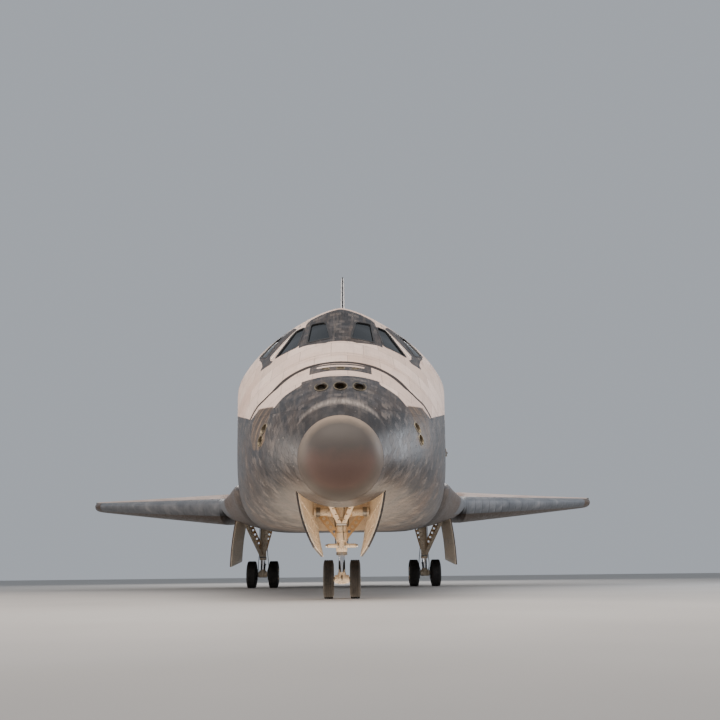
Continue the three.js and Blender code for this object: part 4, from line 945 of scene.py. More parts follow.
def side_cutter(outline, half=3.2):
    """A solid whose outline is given as aft and height, carried across the craft."""
    outline = np.asarray(outline, float)
    rings = np.stack([np.column_stack([np.full(len(outline), x), outline]) for x in (-half, half)])
    return skinned(rings).in_frame()


def rounded(corners, radius):
    """The corners' outline with each corner replaced by a curve that leaves both its sides smoothly."""
    corners = np.asarray(corners, float)
    before, after = np.roll(corners, 1, 0), np.roll(corners, -1, 0)
    start = corners + unit(before - corners) * radius
    end = corners + unit(after - corners) * radius
    t = np.linspace(0, 1, 5)[None, :, None]
    arcs = (1 - t) ** 2 * start[:, None] + 2 * t * (1 - t) * corners[:, None] + t * t * end[:, None]
    return arcs.reshape(-1, 3)


def grown(outline, way, reach):
    """An outline moved outward all round by a reach, square to its sides and to the way that it faces."""
    ahead = unit(np.roll(outline, -1, 0) - outline)
    behind = unit(outline - np.roll(outline, 1, 0))
    out = unit(np.cross(unit(ahead + behind), unit(way)))
    middle = outline.mean(0)
    if np.einsum("ij,ij->", out, outline - middle) < 0:
        out = -out
    return outline + out * reach


def prism(outline, way, low, high):
    """An outline pushed along a way, from low to high."""
    way = unit(way)
    return skinned([outline + way * low, outline + way * high])


def ring_prism(inner, outer, way, low, high):
    """The band between two outlines pushed along a way, from low to high."""
    way = unit(way)
    return skinned([outer + way * low, outer + way * high, inner + way * high, inner + way * low], "loop")


# Nose cap

CAP_BACK = 0.6045
CAP_RADIUS = 0.8
CAP_HEIGHT = -1.6


def make_nose_cap():
    """Circular rings whose radius follows a quarter ellipse from the tip back to the cap's rim."""
    turn = np.concatenate([[0.002], np.linspace(0.03, np.pi / 2, 48)])
    aft = np.concatenate([CAP_BACK * (1 - np.cos(turn)), [0.607, 0.6097, 0.6097]])
    radius = np.concatenate([CAP_RADIUS * np.sin(turn), [0.7985, 0.795, 0.5]])
    angle = np.linspace(-np.pi / 2, 1.5 * np.pi, 160, endpoint=False)
    out, up = radius[:, None] * np.cos(angle), radius[:, None] * np.sin(angle)
    rings = np.stack([out, np.broadcast_to(aft[:, None], out.shape), CAP_HEIGHT + up], -1)
    shell = skinned(rings, centred=True)
    piece("nose_cap_shell", framed([(shell, CAP)]), replaces=["nose_cap"])


# Nose section with its wheel well, and the thruster module set in its top

WELL = {"from": 1.05, "to": 3.9, "roof": -1.75, "front_half": 0.86, "rear_half": 0.56}


def well_half(aft):
    """Half the nose wheel well's width at a place aft, tapering in a straight line."""
    return mix(WELL["front_half"], WELL["rear_half"], (aft - WELL["from"]) / (WELL["to"] - WELL["from"]))


def well_prism(low, high):
    """The tapered space of the nose wheel well between two heights."""
    rings = []
    for aft in np.linspace(WELL["from"], WELL["to"], 9):
        half = well_half(aft)
        rings.append([(half, aft, low), (half, aft, high), (-half, aft, high), (-half, aft, low)])
    return skinned(rings)


UP_NOZZLES = [(x, 3.04) for x in (-0.33, 0.0, 0.33)]
FORWARD_NOZZLES = [(x, 1.88, -0.08) for x in (-0.39, 0.0, 0.39)]
SIDE_NOZZLES = [(1.55, 2.06, -0.92), (1.59, 2.05, -1.16)]


def nozzle_shapes(place, way, throat, mouth, length, rim):
    """A cutter cone that opens along a way, and a bezel tube round its mouth."""
    way = unit(way)
    start = np.asarray(place, float) - way * length
    foot, reach = 0.2 * length, length + 0.3
    cone = turned([(0, throat), (length, mouth), (reach, mouth * 1.2)], start, way, 28)
    wall = [(foot, mouth + rim), (reach, mouth + rim), (reach, mouth + 0.002), (foot, mouth + 0.002)]
    return cone.in_frame(), turned(wall, start, way, 28, "loop").in_frame()


def make_nose():
    """The skin from the cap to the cabin, with the module's place, the wheel well and the side jets cut."""
    skin = skinned(skin_rings(spread(CAP_END + 0.006, NOSE_END - 0.0003, 0.034), 340), centred=True)
    jets = [nozzle_shapes(np.array(place) * [side, 1, 1], (side, -0.3, -0.1), 0.05, 0.1, 0.16, 0.016)
            for place in SIDE_NOZZLES for side in (1, -1)]
    cuts = [away("module_cutter", [side_cutter(MODULE_EDGE)], FRAME),
            away("well_cutter", [well_prism(-4, WELL["roof"]).in_frame()], CREAM),
            away("side_jets", [cone for cone, _ in jets], THROAT)]
    piece("nose_shell", framed([(skin, NOSE_HULL)]), replaces=["nose_section"], cuts=cuts,
          marks=HULL_MARKS | NOSE_MARKS)
    return [bezel for _, bezel in jets]


def make_module():
    """The same skin as the nose, kept only inside the module's outline, with its nozzles."""
    outline = np.array(MODULE_EDGE)
    middle = np.array([2.2, 0.2])
    inner = middle + (outline - middle) * (1 - 0.002 / np.abs(outline - middle).clip(0.2))
    skin = skinned(skin_rings(spread(0.9, 3.7, 0.034), 340), centred=True)
    crown = skin_point(UP_NOZZLES[0][1], np.pi / 2)[2]
    jets = [nozzle_shapes((x, aft, crown), (0, -0.22, 1), 0.06, 0.085, 0.03, 0.014) for x, aft in UP_NOZZLES]
    jets += [nozzle_shapes(place, (0, -1, 0.12), 0.07, 0.125, 0.25, 0.02) for place in FORWARD_NOZZLES]
    cuts = [within("module_outline", [side_cutter(inner)], FRAME),
            away("module_jets", [cone for cone, _ in jets], THROAT)]
    piece("thruster_module", framed([(skin, NOSE_HULL)]),
          replaces=["forward_thruster_module"], cuts=cuts,
          marks={"dark": module_dark, "line": hull_line} | NOSE_MARKS)
    return [bezel for _, bezel in jets]


def shell_between(places, first, last, count, low, high):
    """A curved sheet that follows the skin between two insets."""
    outer = skin_grid(places, first, last, count, low)
    inner = skin_grid(places, first, last, count, high)
    return skinned(np.concatenate([outer, inner[:, ::-1]], 1), "strip")


def make_bezels(bezels):
    """Rims of the small nozzles: each tube kept only where it lies at the skin."""
    sheet = shell_between(spread(1.2, 3.6, 0.05), -1.2, np.pi + 1.2, 300, -0.012, 0.035)
    cuts = [within("bezel_tubes", bezels, NOZZLE)]
    piece("nozzle_rims", framed([(sheet, NOZZLE)]), cuts=cuts)


# Crew cabin

WALL = 0.13
WINDOWS = [
    ([(0.37, 5.68, 2.04), (0.755, 5.82, 2.04), (0.81, 4.90, 1.41), (0.245, 4.82, 1.46)], (0.25, -0.55, 0.8),
     0.09),
    ([(0.93, 5.83, 1.98), (1.15, 5.93, 1.86), (1.60, 5.12, 1.06), (1.02, 4.96, 1.27)], (0.6, -0.45, 0.66),
     0.1),
    ([(1.40, 6.25, 1.75), (1.53, 6.70, 1.70), (1.90, 6.45, 1.15), (1.72, 5.75, 1.08)], (0.8, -0.2, 0.56), 0.1),
    ([(0.18, 7.05, 2.58), (0.64, 7.05, 2.54), (0.64, 7.50, 2.54), (0.18, 7.50, 2.59)], (0.1, 0.0, 1.0), 0.07),
]
HATCH_AFT = 6.782
HATCH_HEIGHT = -0.635
HATCH_RADIUS = 0.508
HATCH_SIDE = 2.62
HATCH_PIN = (2.65, -1.151)


def make_cabin():
    """The skin over a hollow room, with its windows and hatch cut: the panes and their frames are sheets
    that follow the skin, kept only inside the windows' outlines."""
    skin = skinned(skin_rings(spread(NOSE_END, CABIN_END - 0.0003, 0.045), 320), centred=True)
    room = skinned(skin_rings(spread(4.2, 8.44, 0.16), 96, WALL))
    holes, panes, frames = [], [], []
    for corners, faces, radius in WINDOWS:
        for side in (1, -1):
            turn = np.array([side, 1, 1])
            outline = rounded(np.array(corners) * turn, radius)
            way = np.array(faces) * turn
            inner, outer = grown(outline, way, -0.016), grown(outline, way, 0.03)
            holes.append(prism(outline, way, -0.42, 0.26).in_frame())
            panes.append(prism(grown(outline, way, -0.004), way, -0.42, 0.26).in_frame())
            frames.append(ring_prism(inner, outer, way, -0.40, 0.24).in_frame())
    plug = hatch_plug(HATCH_RADIUS, 56)
    cuts = [away("cabin_room", [room.in_frame()], CABIN_GREY),
            away("cabin_openings", [*holes, plug.in_frame()], FRAME, True)]
    piece("cabin_shell", framed([(skin, HULL)]), replaces=["crew_cabin"], cuts=cuts,
          marks=HULL_MARKS)
    places = spread(4.6, 7.7, 0.05)
    glass = shell_between(places, -0.05, np.pi + 0.05, 200, 0.03, 0.052)
    piece("window_panes", framed([(glass, GLASS)]), replaces=["cabin_windows"],
          cuts=[within("pane_outlines", panes, GLASS)])
    sheet = shell_between(places, -0.05, np.pi + 0.05, 200, -0.008, 0.02)
    piece("window_frames", framed([(sheet, FRAME)]),
          cuts=[within("frame_outlines", frames, FRAME)])
    line = [skin_at(x, aft) for x, aft in zip(np.linspace(1.0, 1.70, 14), np.linspace(6.08, 5.36, 14))]
    rails = [(tube(np.array(line) * [side, 1, 1], 0.014, 8), BRIGHT_FRAME) for side in (1, -1)]
    piece("window_rails", framed(rails))


def hatch_plug(radius, sides):
    """The tapered round space of the hatch, widening outwards through the cabin's wall."""
    start = (HATCH_SIDE - 2 * WALL, HATCH_AFT, HATCH_HEIGHT)
    return turned([(0, radius - 0.06), (2 * WALL, radius), (3 * WALL, radius + 0.03)], start, (1, 0, 0), sides)


def skin_at(x, aft):
    """The point of the upper skin at a distance out and a place aft."""
    half, over = smooth(SECTIONS, aft, 1), smooth(SECTIONS, aft, 6)
    return skin_point(aft, math.acos((x / half) ** (over / 2)))


def make_hatch():
    """The round crew hatch: the skin inside a tapered plug, with its window, rim, handle and hinge strap."""
    sheet = shell_between(spread(6.1, 7.5, 0.035), -0.9, 0.75, 60, 0.0, WALL - 0.004)
    plug = hatch_plug(HATCH_RADIUS - 0.006, 72)
    hole = turned([(0, 0.135), (1.2, 0.135)], (HATCH_SIDE - 0.56, HATCH_AFT, HATCH_HEIGHT), (1, 0, 0), 36)
    cuts = [within("hatch_plug", [plug.in_frame()], TILES), away("hatch_window", [hole.in_frame()], FRAME)]
    piece("hatch_panel", framed([(sheet, HULL)]), "crew_hatch", replaces=["crew_hatch"],
          cuts=cuts, marks=marked(hull_dark))
    near = skin_point(HATCH_AFT, -0.22)[0] - 0.012
    centre = np.array([near, HATCH_AFT, HATCH_HEIGHT])
    profile = [(-0.03, 0.134), (0.0, 0.134), (0.004, 0.128), (0.004, 0.105), (-0.03, 0.105)]
    rim = turned(profile, centre, (1, 0, 0), 40, "loop")
    pane = turned([(-0.022, 0.106), (-0.008, 0.106)], centre, (1, 0, 0), 40)
    piece("hatch_window_rim", framed([(rim, BRIGHT_FRAME), (pane, GLASS)]), "crew_hatch")
    x, height = HATCH_PIN
    straps = []
    for aft in (HATCH_AFT - 0.085, HATCH_AFT + 0.085):
        low, high = (HATCH_SIDE + 0.006, aft - 0.03, height), (x, aft + 0.03, height + 0.12)
        straps.append((block(low, high, 0.008), STEEL))
    straps.append((bar((x, HATCH_AFT - 0.1195, height), (x, HATCH_AFT + 0.1195, height), 0.024, 20), STEEL))
    grip = centre + [(-0.12, -0.1, 0.3), (-0.2, -0.06, 0.31), (-0.2, 0.06, 0.31), (-0.12, 0.1, 0.3)]
    straps.append((tube(curve(grip), 0.014), STEEL))
    piece("hatch_hinge_strap", framed(straps), "crew_hatch")
    lugs = []
    for aft in (HATCH_AFT - 0.19, HATCH_AFT + 0.12):
        lugs.append((bar((x, aft, height), (x, aft + 0.07, height), 0.024, 20), STEEL))
        lugs.append((block((HATCH_SIDE - 0.06, aft, height - 0.09), (x, aft + 0.07, height), 0.006), STEEL))
    piece("hatch_lugs", framed(lugs))


def seat_shapes(x):
    """A crew seat: a pan and a tall back of two crowned cushions each, armrests and a head pad on a frame."""
    foot, front = 0.42, 5.9
    frame_parts = [
        (block((x - 0.15, front + 0.09, foot + 0.0003), (x + 0.15, front + 0.51, foot + 0.3), 0.02),
         CABIN_GREY),
        (block((x - 0.24, front + 0.02, foot + 0.29), (x + 0.24, front + 0.55, foot + 0.385), 0.02),
         CABIN_GREY),
        (block((x - 0.22, front + 0.5, foot + 0.37), (x + 0.22, front + 0.56, foot + 1.13), 0.02), CABIN_GREY),
    ]
    cushions = [
        (block((x - 0.23, front, foot + 0.38), (x + 0.23, front + 0.44, foot + 0.51), 0.05, 5), SEAT_CLOTH),
        (block((x - 0.22, front + 0.42, foot + 0.5), (x + 0.22, front + 0.52, foot + 0.9), 0.045, 5),
         SEAT_CLOTH),
        (block((x - 0.15, front + 0.41, foot + 0.91), (x + 0.15, front + 0.52, foot + 1.15), 0.045, 5),
         SEAT_CLOTH),
    ]
    arms = [(block((x + side * 0.25, front + 0.1, foot + 0.6), (x + side * 0.19, front + 0.5, foot + 0.65),
                   0.02), PANEL_BLACK) for side in (-1, 1)]
    return framed([*frame_parts, *cushions, *arms])


def make_cabin_inside():
    """Two seats, and the panel: a desk of one outline carried across, with screens and rows of keys."""
    for name, x in (("left", 0.62), ("right", -0.62)):
        piece("pilot_seat_" + name, seat_shapes(x), replaces=["crew_seat_" + name])
    foot = 0.4203
    outline = np.array([(5.0, 0), (5.29, 0), (5.23, 0.29), (5.29, 0.52), (5.35, 0.58),
                        (5.04, 0.55)]) + [0, foot]
    rows = [np.column_stack([np.full(6, x), outline]) for x in (-1.0, 1.0)]
    shapes = [(skinned(rows), CABIN_GREY)]
    for x in (-0.72, -0.36, 0.0, 0.36, 0.72):
        screen = block((x - 0.13, 5.235, foot + 0.3), (x + 0.13, 5.262, foot + 0.5), 0.008)
        shapes.append((screen, PANEL_BLACK))
    for x in np.linspace(-0.9, 0.9, 19):
        key = block((x - 0.022, 5.242, foot + 0.18), (x + 0.022, 5.275, foot + 0.225), 0.006, 2)
        shapes.append((key, STEEL))
    piece("instrument_desk", framed(shapes), replaces=["instrument_panel"])


# Load bay and its doors

DOOR_PINS = (9.6, 13.4, 17.2, 21.0, 24.8)
PIN_OUT = 0.027
PIN_RADIUS = 0.022
DOOR_FROM = CABIN_END + 0.01
DOOR_TO = BAY_END - 0.01
DOOR_WALL = 0.14
LINER_THICK = 0.0192
FRAME_PLACES = np.linspace(9.5, 26.4, 14)


def angle_at_height(aft, height):
    """Angle of the skin's upper curve at a height."""
    crown, shoulder, over = (smooth(SECTIONS, aft, column) for column in (2, 4, 6))
    return np.arcsin(((height - shoulder) / (crown - shoulder)) ** (over / 2))


def bay_ring_shape():
    """Outer skin from the starboard sill round the keel to the port sill, and the bay's wall back again."""
    places = with_seams(spread(CABIN_END, BAY_END - 0.0003, 0.16), FRAME_PLACES, 0.012)
    dent = seam_depth(places, FRAME_PLACES, 0.012, 0.006)
    rows = 120
    outer = []
    for aft in places:
        top = angle_at_height(aft, SILL)
        outer.append(skin_point(aft, even_angles(aft, np.pi - top, 2 * np.pi + top, 2 * rows)))
    outer = sunk(np.stack(outer), np.repeat(dent[:, None], 2 * rows, 1))
    outer[:, [0, -1], 2] = SILL
    share = np.linspace(-1, 1, 2 * rows)
    arc = np.pi * BAY_RADIUS / 2
    length = share * (arc + SILL)
    turn = np.clip(length / BAY_RADIUS, -np.pi / 2, np.pi / 2)
    inner = np.stack([BAY_RADIUS * np.sin(turn), np.zeros(2 * rows),
                      -BAY_RADIUS * np.cos(turn) + np.maximum(np.abs(length) - arc, 0)], -1)
    inner = np.repeat(inner[None], len(places), 0)
    inner[..., 1] = places[:, None]
    return skinned(np.concatenate([outer, inner[:, ::-1]], 1), "strip", centred=False)


def bay_side():
    """How far out the skin is at the hinge line of the doors."""
    return skin_point(16.8, math.radians(9.3))[0]


def make_bay():
    """The bay's shell, the hinge lugs on its sills, its liner, half-round frames, rails and cables."""
    piece("mid_fuselage_shell", framed([(bay_ring_shape(), HULL)]), replaces=["mid_fuselage"],
          marks=marked(bay_dark))
    piece("sill_hinge_lugs", framed(sill_lugs()))
    liner = []
    gaps = np.concatenate([[CABIN_END + 0.05], FRAME_PLACES, [BAY_END - 0.05]])
    for start, end in zip(gaps[:-1], gaps[1:]):
        liner.append((liner_sheet(start + 0.07, end - 0.07), LINER))
    piece("bay_liner", framed(liner))
    piece("bay_frames", framed([(bay_hoop(aft), PRIMER) for aft in FRAME_PLACES]))
    rails = []
    for sign in (1, -1):
        low, high = (sign * 2.356, CABIN_END + 0.06, 0.30), (sign * 2.30, BAY_END - 0.06, 0.46)
        rails.append((block(low, high, 0.012), CREAM))
        for aft in FRAME_PLACES:
            low, high = (sign * 2.36, aft - 0.09, 0.02), (sign * 2.27, aft + 0.09, 0.49)
            rails.append((block(low, high, 0.015), STEEL))
        path = [(sign * 2.29, aft, 0.16 + 0.015 * math.sin(2.4 * aft)) for aft in spread(9.0, 26.9, 0.35)]
        rails.append((tube(path, 0.022, 10), STEEL))
        path = [(sign * 2.2, aft, -0.42) for aft in spread(9.0, 26.9, 0.5)]
        rails.append((tube(path, 0.03, 10), GOLD))
    piece("sill_rails", framed(rails))


def sill_lugs():
    """Two lugs on the sill for each hinge barrel of the doors, each a round eye on a block."""
    side = bay_side()
    axis_x = side + PIN_OUT
    lugs = []
    for aft in DOOR_PINS:
        for low, high in ((-0.22, -0.13), (0.13, 0.22)):
            for sign in (1, -1):
                eye = bar((sign * axis_x, aft + low, SILL), (sign * axis_x, aft + high, SILL), PIN_RADIUS, 16)
                foot = block((sign * (side - 0.06), aft + low, SILL - 0.11),
                             (sign * (axis_x + 0.004), aft + high, SILL - 0.001), 0.006, 2)
                lugs += [(eye, STEEL), (foot, STEEL)]
    return lugs


def liner_sheet(start, end):
    """A half-round sheet of liner between two frames, a little inside the bay's wall."""
    turn = np.linspace(-np.pi / 2, np.pi / 2, 61)
    radius = BAY_RADIUS - 0.006
    shrink = 1 - LINER_THICK / BAY_RADIUS
    rings = []
    for aft in (start, (start + end) / 2, end):
        outer = np.stack([radius * np.sin(turn), np.full(61, aft), -radius * np.cos(turn)], -1)
        rings.append(np.concatenate([outer, (outer * [shrink, 1, shrink])[::-1]]))
    return skinned(rings, "strip")


def bay_hoop(aft):
    """A half-round frame of the bay, its section a wide foot on the wall with a narrow web inward."""
    foot, web = BAY_RADIUS - 0.05, BAY_RADIUS - 0.12
    corners = [(BAY_RADIUS, -0.055), (BAY_RADIUS, 0.055), (foot, 0.055), (foot, 0.02), (web, 0.02),
               (web, -0.02), (foot, -0.02), (foot, -0.055)]
    rings = []
    for turn in np.linspace(-np.pi / 2, np.pi / 2, 41):
        out = np.array([math.sin(turn), 0, -math.cos(turn)])
        rings.append([out * radius + [0, aft + along, 0] for radius, along in corners])
    return skinned(rings)


def bay_dark(points):
    """Black below the side edge, but only on the outer skin."""
    radius = np.hypot(points[:, 0], np.minimum(points[:, 2], 0))
    return np.where(radius < BAY_RADIUS + 0.02, -1, hull_dark(points))


DOOR_SEAMS = np.array([11.0, 13.3, 13.3475, 15.6, 17.945, 20.2, 22.5, 22.5425, 24.9])


def make_doors():
    """Each door is a curved plate from the centreline to the hinge: skin outside, a wall inside it, with
    fine grooves across at its panel joints, radiators inside, and hinge barrels at its edge."""
    places = with_seams(spread(DOOR_FROM, DOOR_TO, 0.12), DOOR_SEAMS, 0.014)
    dents = np.repeat(seam_depth(places, DOOR_SEAMS, 0.014, 0.006)[:, None], 72, 1)
    dents[:, [0, -1]] = 0
    outer, inner = [], []
    for aft in places:
        angles = even_angles(aft, angle_at_height(aft, SILL + 0.01), np.pi / 2, 72)
        row = skin_point(aft, angles)
        row[-1, 0] = 0.005
        outer.append(row)
        wall = skin_point(aft, angles, DOOR_WALL)
        wall[0] = row[0] - [DOOR_WALL, 0, 0]
        wall[0, 2] = SILL + 0.01
        inner.append(wall)
    outer, inner = sunk(np.stack(outer), dents), np.stack(inner)
    outer[:, -1, 0] = 0.005
    inner[:, -1, 0] = 0.005
    plate = skinned(np.concatenate([outer, inner[:, ::-1]], 1), "strip")
    pair("bay_door", framed([(plate, HULL)]), "payload_bay_door", ["payload_bay_door"],
         marks=marked(none_of_it))
    sheets = []
    for start, end in ((9.0, 13.2), (13.35, 17.75), (17.95, 22.3), (22.45, 26.9)):
        rows = []
        for aft in spread(start, end, 0.4):
            angles = even_angles(aft, 0.42, 1.5, 40)
            lower = skin_point(aft, angles, DOOR_WALL + 0.03)
            rows.append(np.concatenate([skin_point(aft, angles, DOOR_WALL + 0.003), lower[::-1]]))
        sheets.append((skinned(rows, "strip"), RADIATOR))
    pair("door_radiators", framed(sheets), "payload_bay_door")
    side = bay_side()
    fittings = []
    for aft in DOOR_PINS:
        start, end = aft - 0.1297, aft + 0.1297
        barrel = bar((side + PIN_OUT, start, SILL), (side + PIN_OUT, end, SILL), PIN_RADIUS, 20)
        strap_block = block((side - 0.03, start, SILL + 0.012), (side + PIN_OUT, end, SILL + 0.085), 0.006, 2)
        fittings += [(barrel, STEEL), (strap_block, STEEL)]
    for aft in np.linspace(9.4, 26.5, 16):
        fittings.append((block((0.05, aft - 0.05, 2.40), (0.17, aft + 0.05, 2.47), 0.012, 2), DARK_METAL))
    pair("door_hinges", framed(fittings), "payload_bay_door")


# Aft fuselage

def base_aft(height):
    """Where the leaning base lies at a height, in a straight line."""
    return BASE_FOOT - (height + 3.6) * BASE_LEAN


def make_aft():
    """Skin rings whose places aft lean with their height, ending at the flat leaning base."""
    rings = []
    for part in np.linspace(0, 1, 66):
        aft = mix(BAY_END, BASE_MIDDLE, part)
        angles = even_angles(aft, -np.pi / 2, 1.5 * np.pi, 301)[:-1]
        place = mix(BAY_END, base_aft(skin_point(aft, angles)[:, 2]), part)
        row = skin_point(np.clip(place, BAY_END, SECTIONS[-1, 0]), angles)
        row[:, 1] = place
        rings.append(row)
    middle = np.array([0, 0, -0.35])
    inner = middle + (rings[-1] - middle) * 0.985
    inner[:, 1] = base_aft(inner[:, 2])
    skin = skinned(np.stack([*rings, inner]), centred=True)
    piece("aft_fuselage_shell", framed([(skin, HULL)]), replaces=["aft_fuselage"],
          marks=marked(aft_dark))
    ribs = [(block((x - 0.09, BASE_FOOT - 0.3, -3.02), (x + 0.09, 32.74, -2.71), 0.01, 2), DARK_METAL)
            for x in (-2.3, -0.8, 0.8, 2.3)]
    piece("flap_ribs", framed(ribs))


def aft_dark(points):
    """Black below the side edge and over the flat base."""
    base = points[:, 1] - base_aft(points[:, 2]) + 0.03
    return np.maximum(hull_dark(points), base)


def make_flap():
    """The body flap: a round nose at the hinge that thins in straight sides to its trailing edge."""
    hinge, trail, nose = (32.97, -2.87), 35.03, 0.225
    turn = np.radians(np.linspace(90, 270, 25))
    front = np.column_stack([hinge[0] + nose * np.cos(turn), hinge[1] + nose * np.sin(turn)])
    below = mix(np.array([hinge[0], hinge[1] - nose]), np.array([trail, -2.93]),
                np.linspace(0, 1, 24)[1:, None])
    above = mix(np.array([trail, -2.89]), np.array([hinge[0], hinge[1] + nose]),
                np.linspace(0, 1, 24)[:-1, None])
    outline = np.concatenate([front, below, above])
    middle = outline.mean(0)
    rows = []
    for x in np.concatenate([[-FLAP_HALF, -3.035], np.linspace(-3.0, 3.0, 61), [3.035, FLAP_HALF]]):
        share = 0.994 if abs(x) == FLAP_HALF else 1.0
        rows.append(np.column_stack([np.full(len(outline), x), middle + (outline - middle) * share]))
    piece("body_flap_shell", framed([(skinned(rows), HULL)]), "body_flap",
          replaces=["body_flap"], marks=marked(lambda points: FLAP_MIDDLE - points[:, 2]))


# Wings

def keel_height(out, aft):
    """Height of the wing's underside: the fuselage's keel there, a lift and a straight rise outboard."""
    return smooth(SECTIONS, aft, 3) + WING_LIFT + DIHEDRAL * (out - GLOVE[0])


def hinge_half(out):
    """Half the wing's thickness at the elevon hinge, in a straight line from root to tip."""
    return mix(*HINGE_HALF, (out - ROOT_OUT) / (TIP[0] - ROOT_OUT))


def trail_aft(out):
    """The wing's trailing edge, straight from root to tip."""
    return TRAIL_AFT - TRAIL_RUN * out


def lead_aft(out):
    """The leading edge: straight along the glove, straight at 45 degrees, then a quarter round at the tip."""
    out = np.asarray(out, float)
    slope = (KINK[1] - GLOVE[1]) / (KINK[0] - GLOVE[0])
    glove = GLOVE[1] + (out - GLOVE[0]) * np.where(out < GLOVE[0], 1.5, slope)
    swept = mix(KINK[1], TIP_START[1], (out - KINK[0]) / (TIP_START[0] - KINK[0]))
    beyond = np.maximum(out - TIP_START[0], 0)
    span = TIP[0] - TIP_START[0]
    curve_back = TIP[1] - TIP_START[1] - span
    tip = TIP_START[1] + beyond + curve_back * (1 - np.sqrt(1 - np.minimum(1, beyond / span) ** 2))
    return np.where(out < KINK[0], glove, np.where(out < TIP_START[0], swept, tip))


def sweep_share(out):
    """Distance square to the leading edge for each metre aft, blended over the kink."""
    return np.interp(out, [4.74, 4.9], [0.1565, math.sqrt(0.5)])


def wing_surface(out, aft, share):
    """Heights of the lower and upper surface: a quarter-round nose, a parabola up to the crest, then a
    curve down to the hinge line and straight sides behind it."""
    out, aft, share = np.broadcast_arrays(np.asarray(out, float), np.asarray(aft, float),
                                          np.asarray(share, float))
    lead = lead_aft(out)
    thick = np.interp(out, WING_THICKNESS[:, 0], WING_THICKNESS[:, 1])
    nose = np.interp(out, WING_THICKNESS[:, 0], WING_THICKNESS[:, 2])
    crest = mix(*CREST_AFT, (out - ROOT_OUT) / (TIP[0] - ROOT_OUT))
    t = np.clip((aft - lead) * share / np.interp(out, WING_THICKNESS[:, 0], WING_THICKNESS[:, 3]), 0, 1)
    bend = np.sqrt(1 - (1 - t) ** 2)
    keel = keel_height(out, aft)
    lower = keel + nose * (1 - bend)
    half = hinge_half(out)
    t = np.clip((aft - lead) / (crest - lead), 0, 1)
    upper = keel + nose + 0.5 * nose * bend + (thick - 1.5 * nose) * (1 - (1 - t) ** 2)
    back = np.clip((aft - crest) / (HINGE_AFT - crest), 0, 1)
    last = keel_height(out, np.full_like(aft, HINGE_AFT))
    lower = np.where(aft > crest, mix(lower, last, back), lower)
    upper = np.where(aft > crest, mix(keel + thick, last + 2 * half, back ** 1.5), upper)
    tail = np.clip((aft - HINGE_AFT) / (trail_aft(out) - HINGE_AFT), 0, 1)
    axis = last + half
    slim = mix(half, TRAIL_THICK / 2, tail)
    behind = aft > HINGE_AFT
    return np.where(behind, axis - slim, lower), np.where(behind, axis + slim, upper)


def wing_row(out, start, whole_tail=False):
    """One closed outline of the wing at a distance out: upper surface aft, the round cove ahead of the
    elevon or the trailing edge, and the lower surface forward."""
    share = sweep_share(out) if start or out < 5 else math.sqrt(0.5)
    first = float(lead_aft(out)) + start / share
    half = hinge_half(out)
    end_up = HINGE_AFT - UPPER_LIP * half
    end_low = HINGE_AFT - LOWER_LIP * half
    spacing = np.linspace(0, 1, 60) ** (1.6 if start == 0 else 1.0)
    if whole_tail:
        end_up = end_low = float(trail_aft(out))
    up = mix(first, end_up, spacing)
    low = mix(first, end_low, spacing)
    top = np.column_stack([np.full(60, out), up, wing_surface(out, up, share)[1]])
    bottom = np.column_stack([np.full(60, out), low, wing_surface(out, low, share)[0]])
    axis = keel_height(out, HINGE_AFT) + half
    radius = half + 0.015
    rise = math.acos(-UPPER_LIP * half / radius)
    fall = 2 * math.pi - math.acos(-LOWER_LIP * half / radius)
    turn = np.linspace(rise, fall, 13)
    cove = np.column_stack([np.full(13, out), HINGE_AFT + radius * np.cos(turn), axis + radius * np.sin(turn)])
    if whole_tail:
        cove = mix(top[-1], bottom[-1], np.linspace(0, 1, 13)[:, None])
    return np.concatenate([bottom[:1], top, cove, bottom[:0:-1]])


def wing_dark(points):
    """Black below the wing's middle surface and round the nose of the glove."""
    out = np.clip(np.abs(points[:, 0]), ROOT_OUT, TIP[0])
    aft = points[:, 1]
    share = sweep_share(out)
    low, high = wing_surface(out, aft, share)
    middle = mix(low, high, 0.35)
    depth = (aft - lead_aft(out)) * share
    band = np.where(out < EDGE_START, 0.26, EDGE_DEPTH + 0.03)
    return np.maximum(middle - points[:, 2], band - depth)


def make_wings():
    """The glove and the tip are whole sections; between them the skin starts behind the hard leading edge."""
    glove = skinned([wing_row(out, 0) for out in np.linspace(ROOT_OUT, EDGE_START, 24)])
    main_outs = np.unique(np.concatenate([np.linspace(EDGE_START, 4.74, 8), np.linspace(4.74, 4.9, 4),
                                          np.linspace(4.9, TIP_START[0], 64)]))
    main = skinned([wing_row(out, EDGE_DEPTH) for out in main_outs])
    tip_turn = 11.364
    near_tip = skinned([wing_row(out, 0) for out in np.linspace(TIP_START[0], tip_turn, 5)])
    tip_outs = tip_turn + (TIP[0] - 0.002 - tip_turn) * np.sin(np.linspace(0, np.pi / 2, 18))
    tip = skinned([wing_row(out, 0, True) for out in tip_outs])
    well = block((2.9, 20.4, -4.5), (4.23, 24.3, -2.33), 0.02, 1).in_frame()
    slot = block((4.17, 20.405, -4.5), (4.29, 24.295, -2.76), 0.01, 1).in_frame()
    pair("wing_skin", framed([(main, HULL)]), replaces=["wing"], marks=marked(wing_dark),
         cuts=[away("main_well", [well], CREAM), away("main_door_slot", [slot], CREAM)])
    pair("wing_ends", framed([(shape, HULL) for shape in (glove, near_tip, tip)]),
         marks=marked(wing_dark))


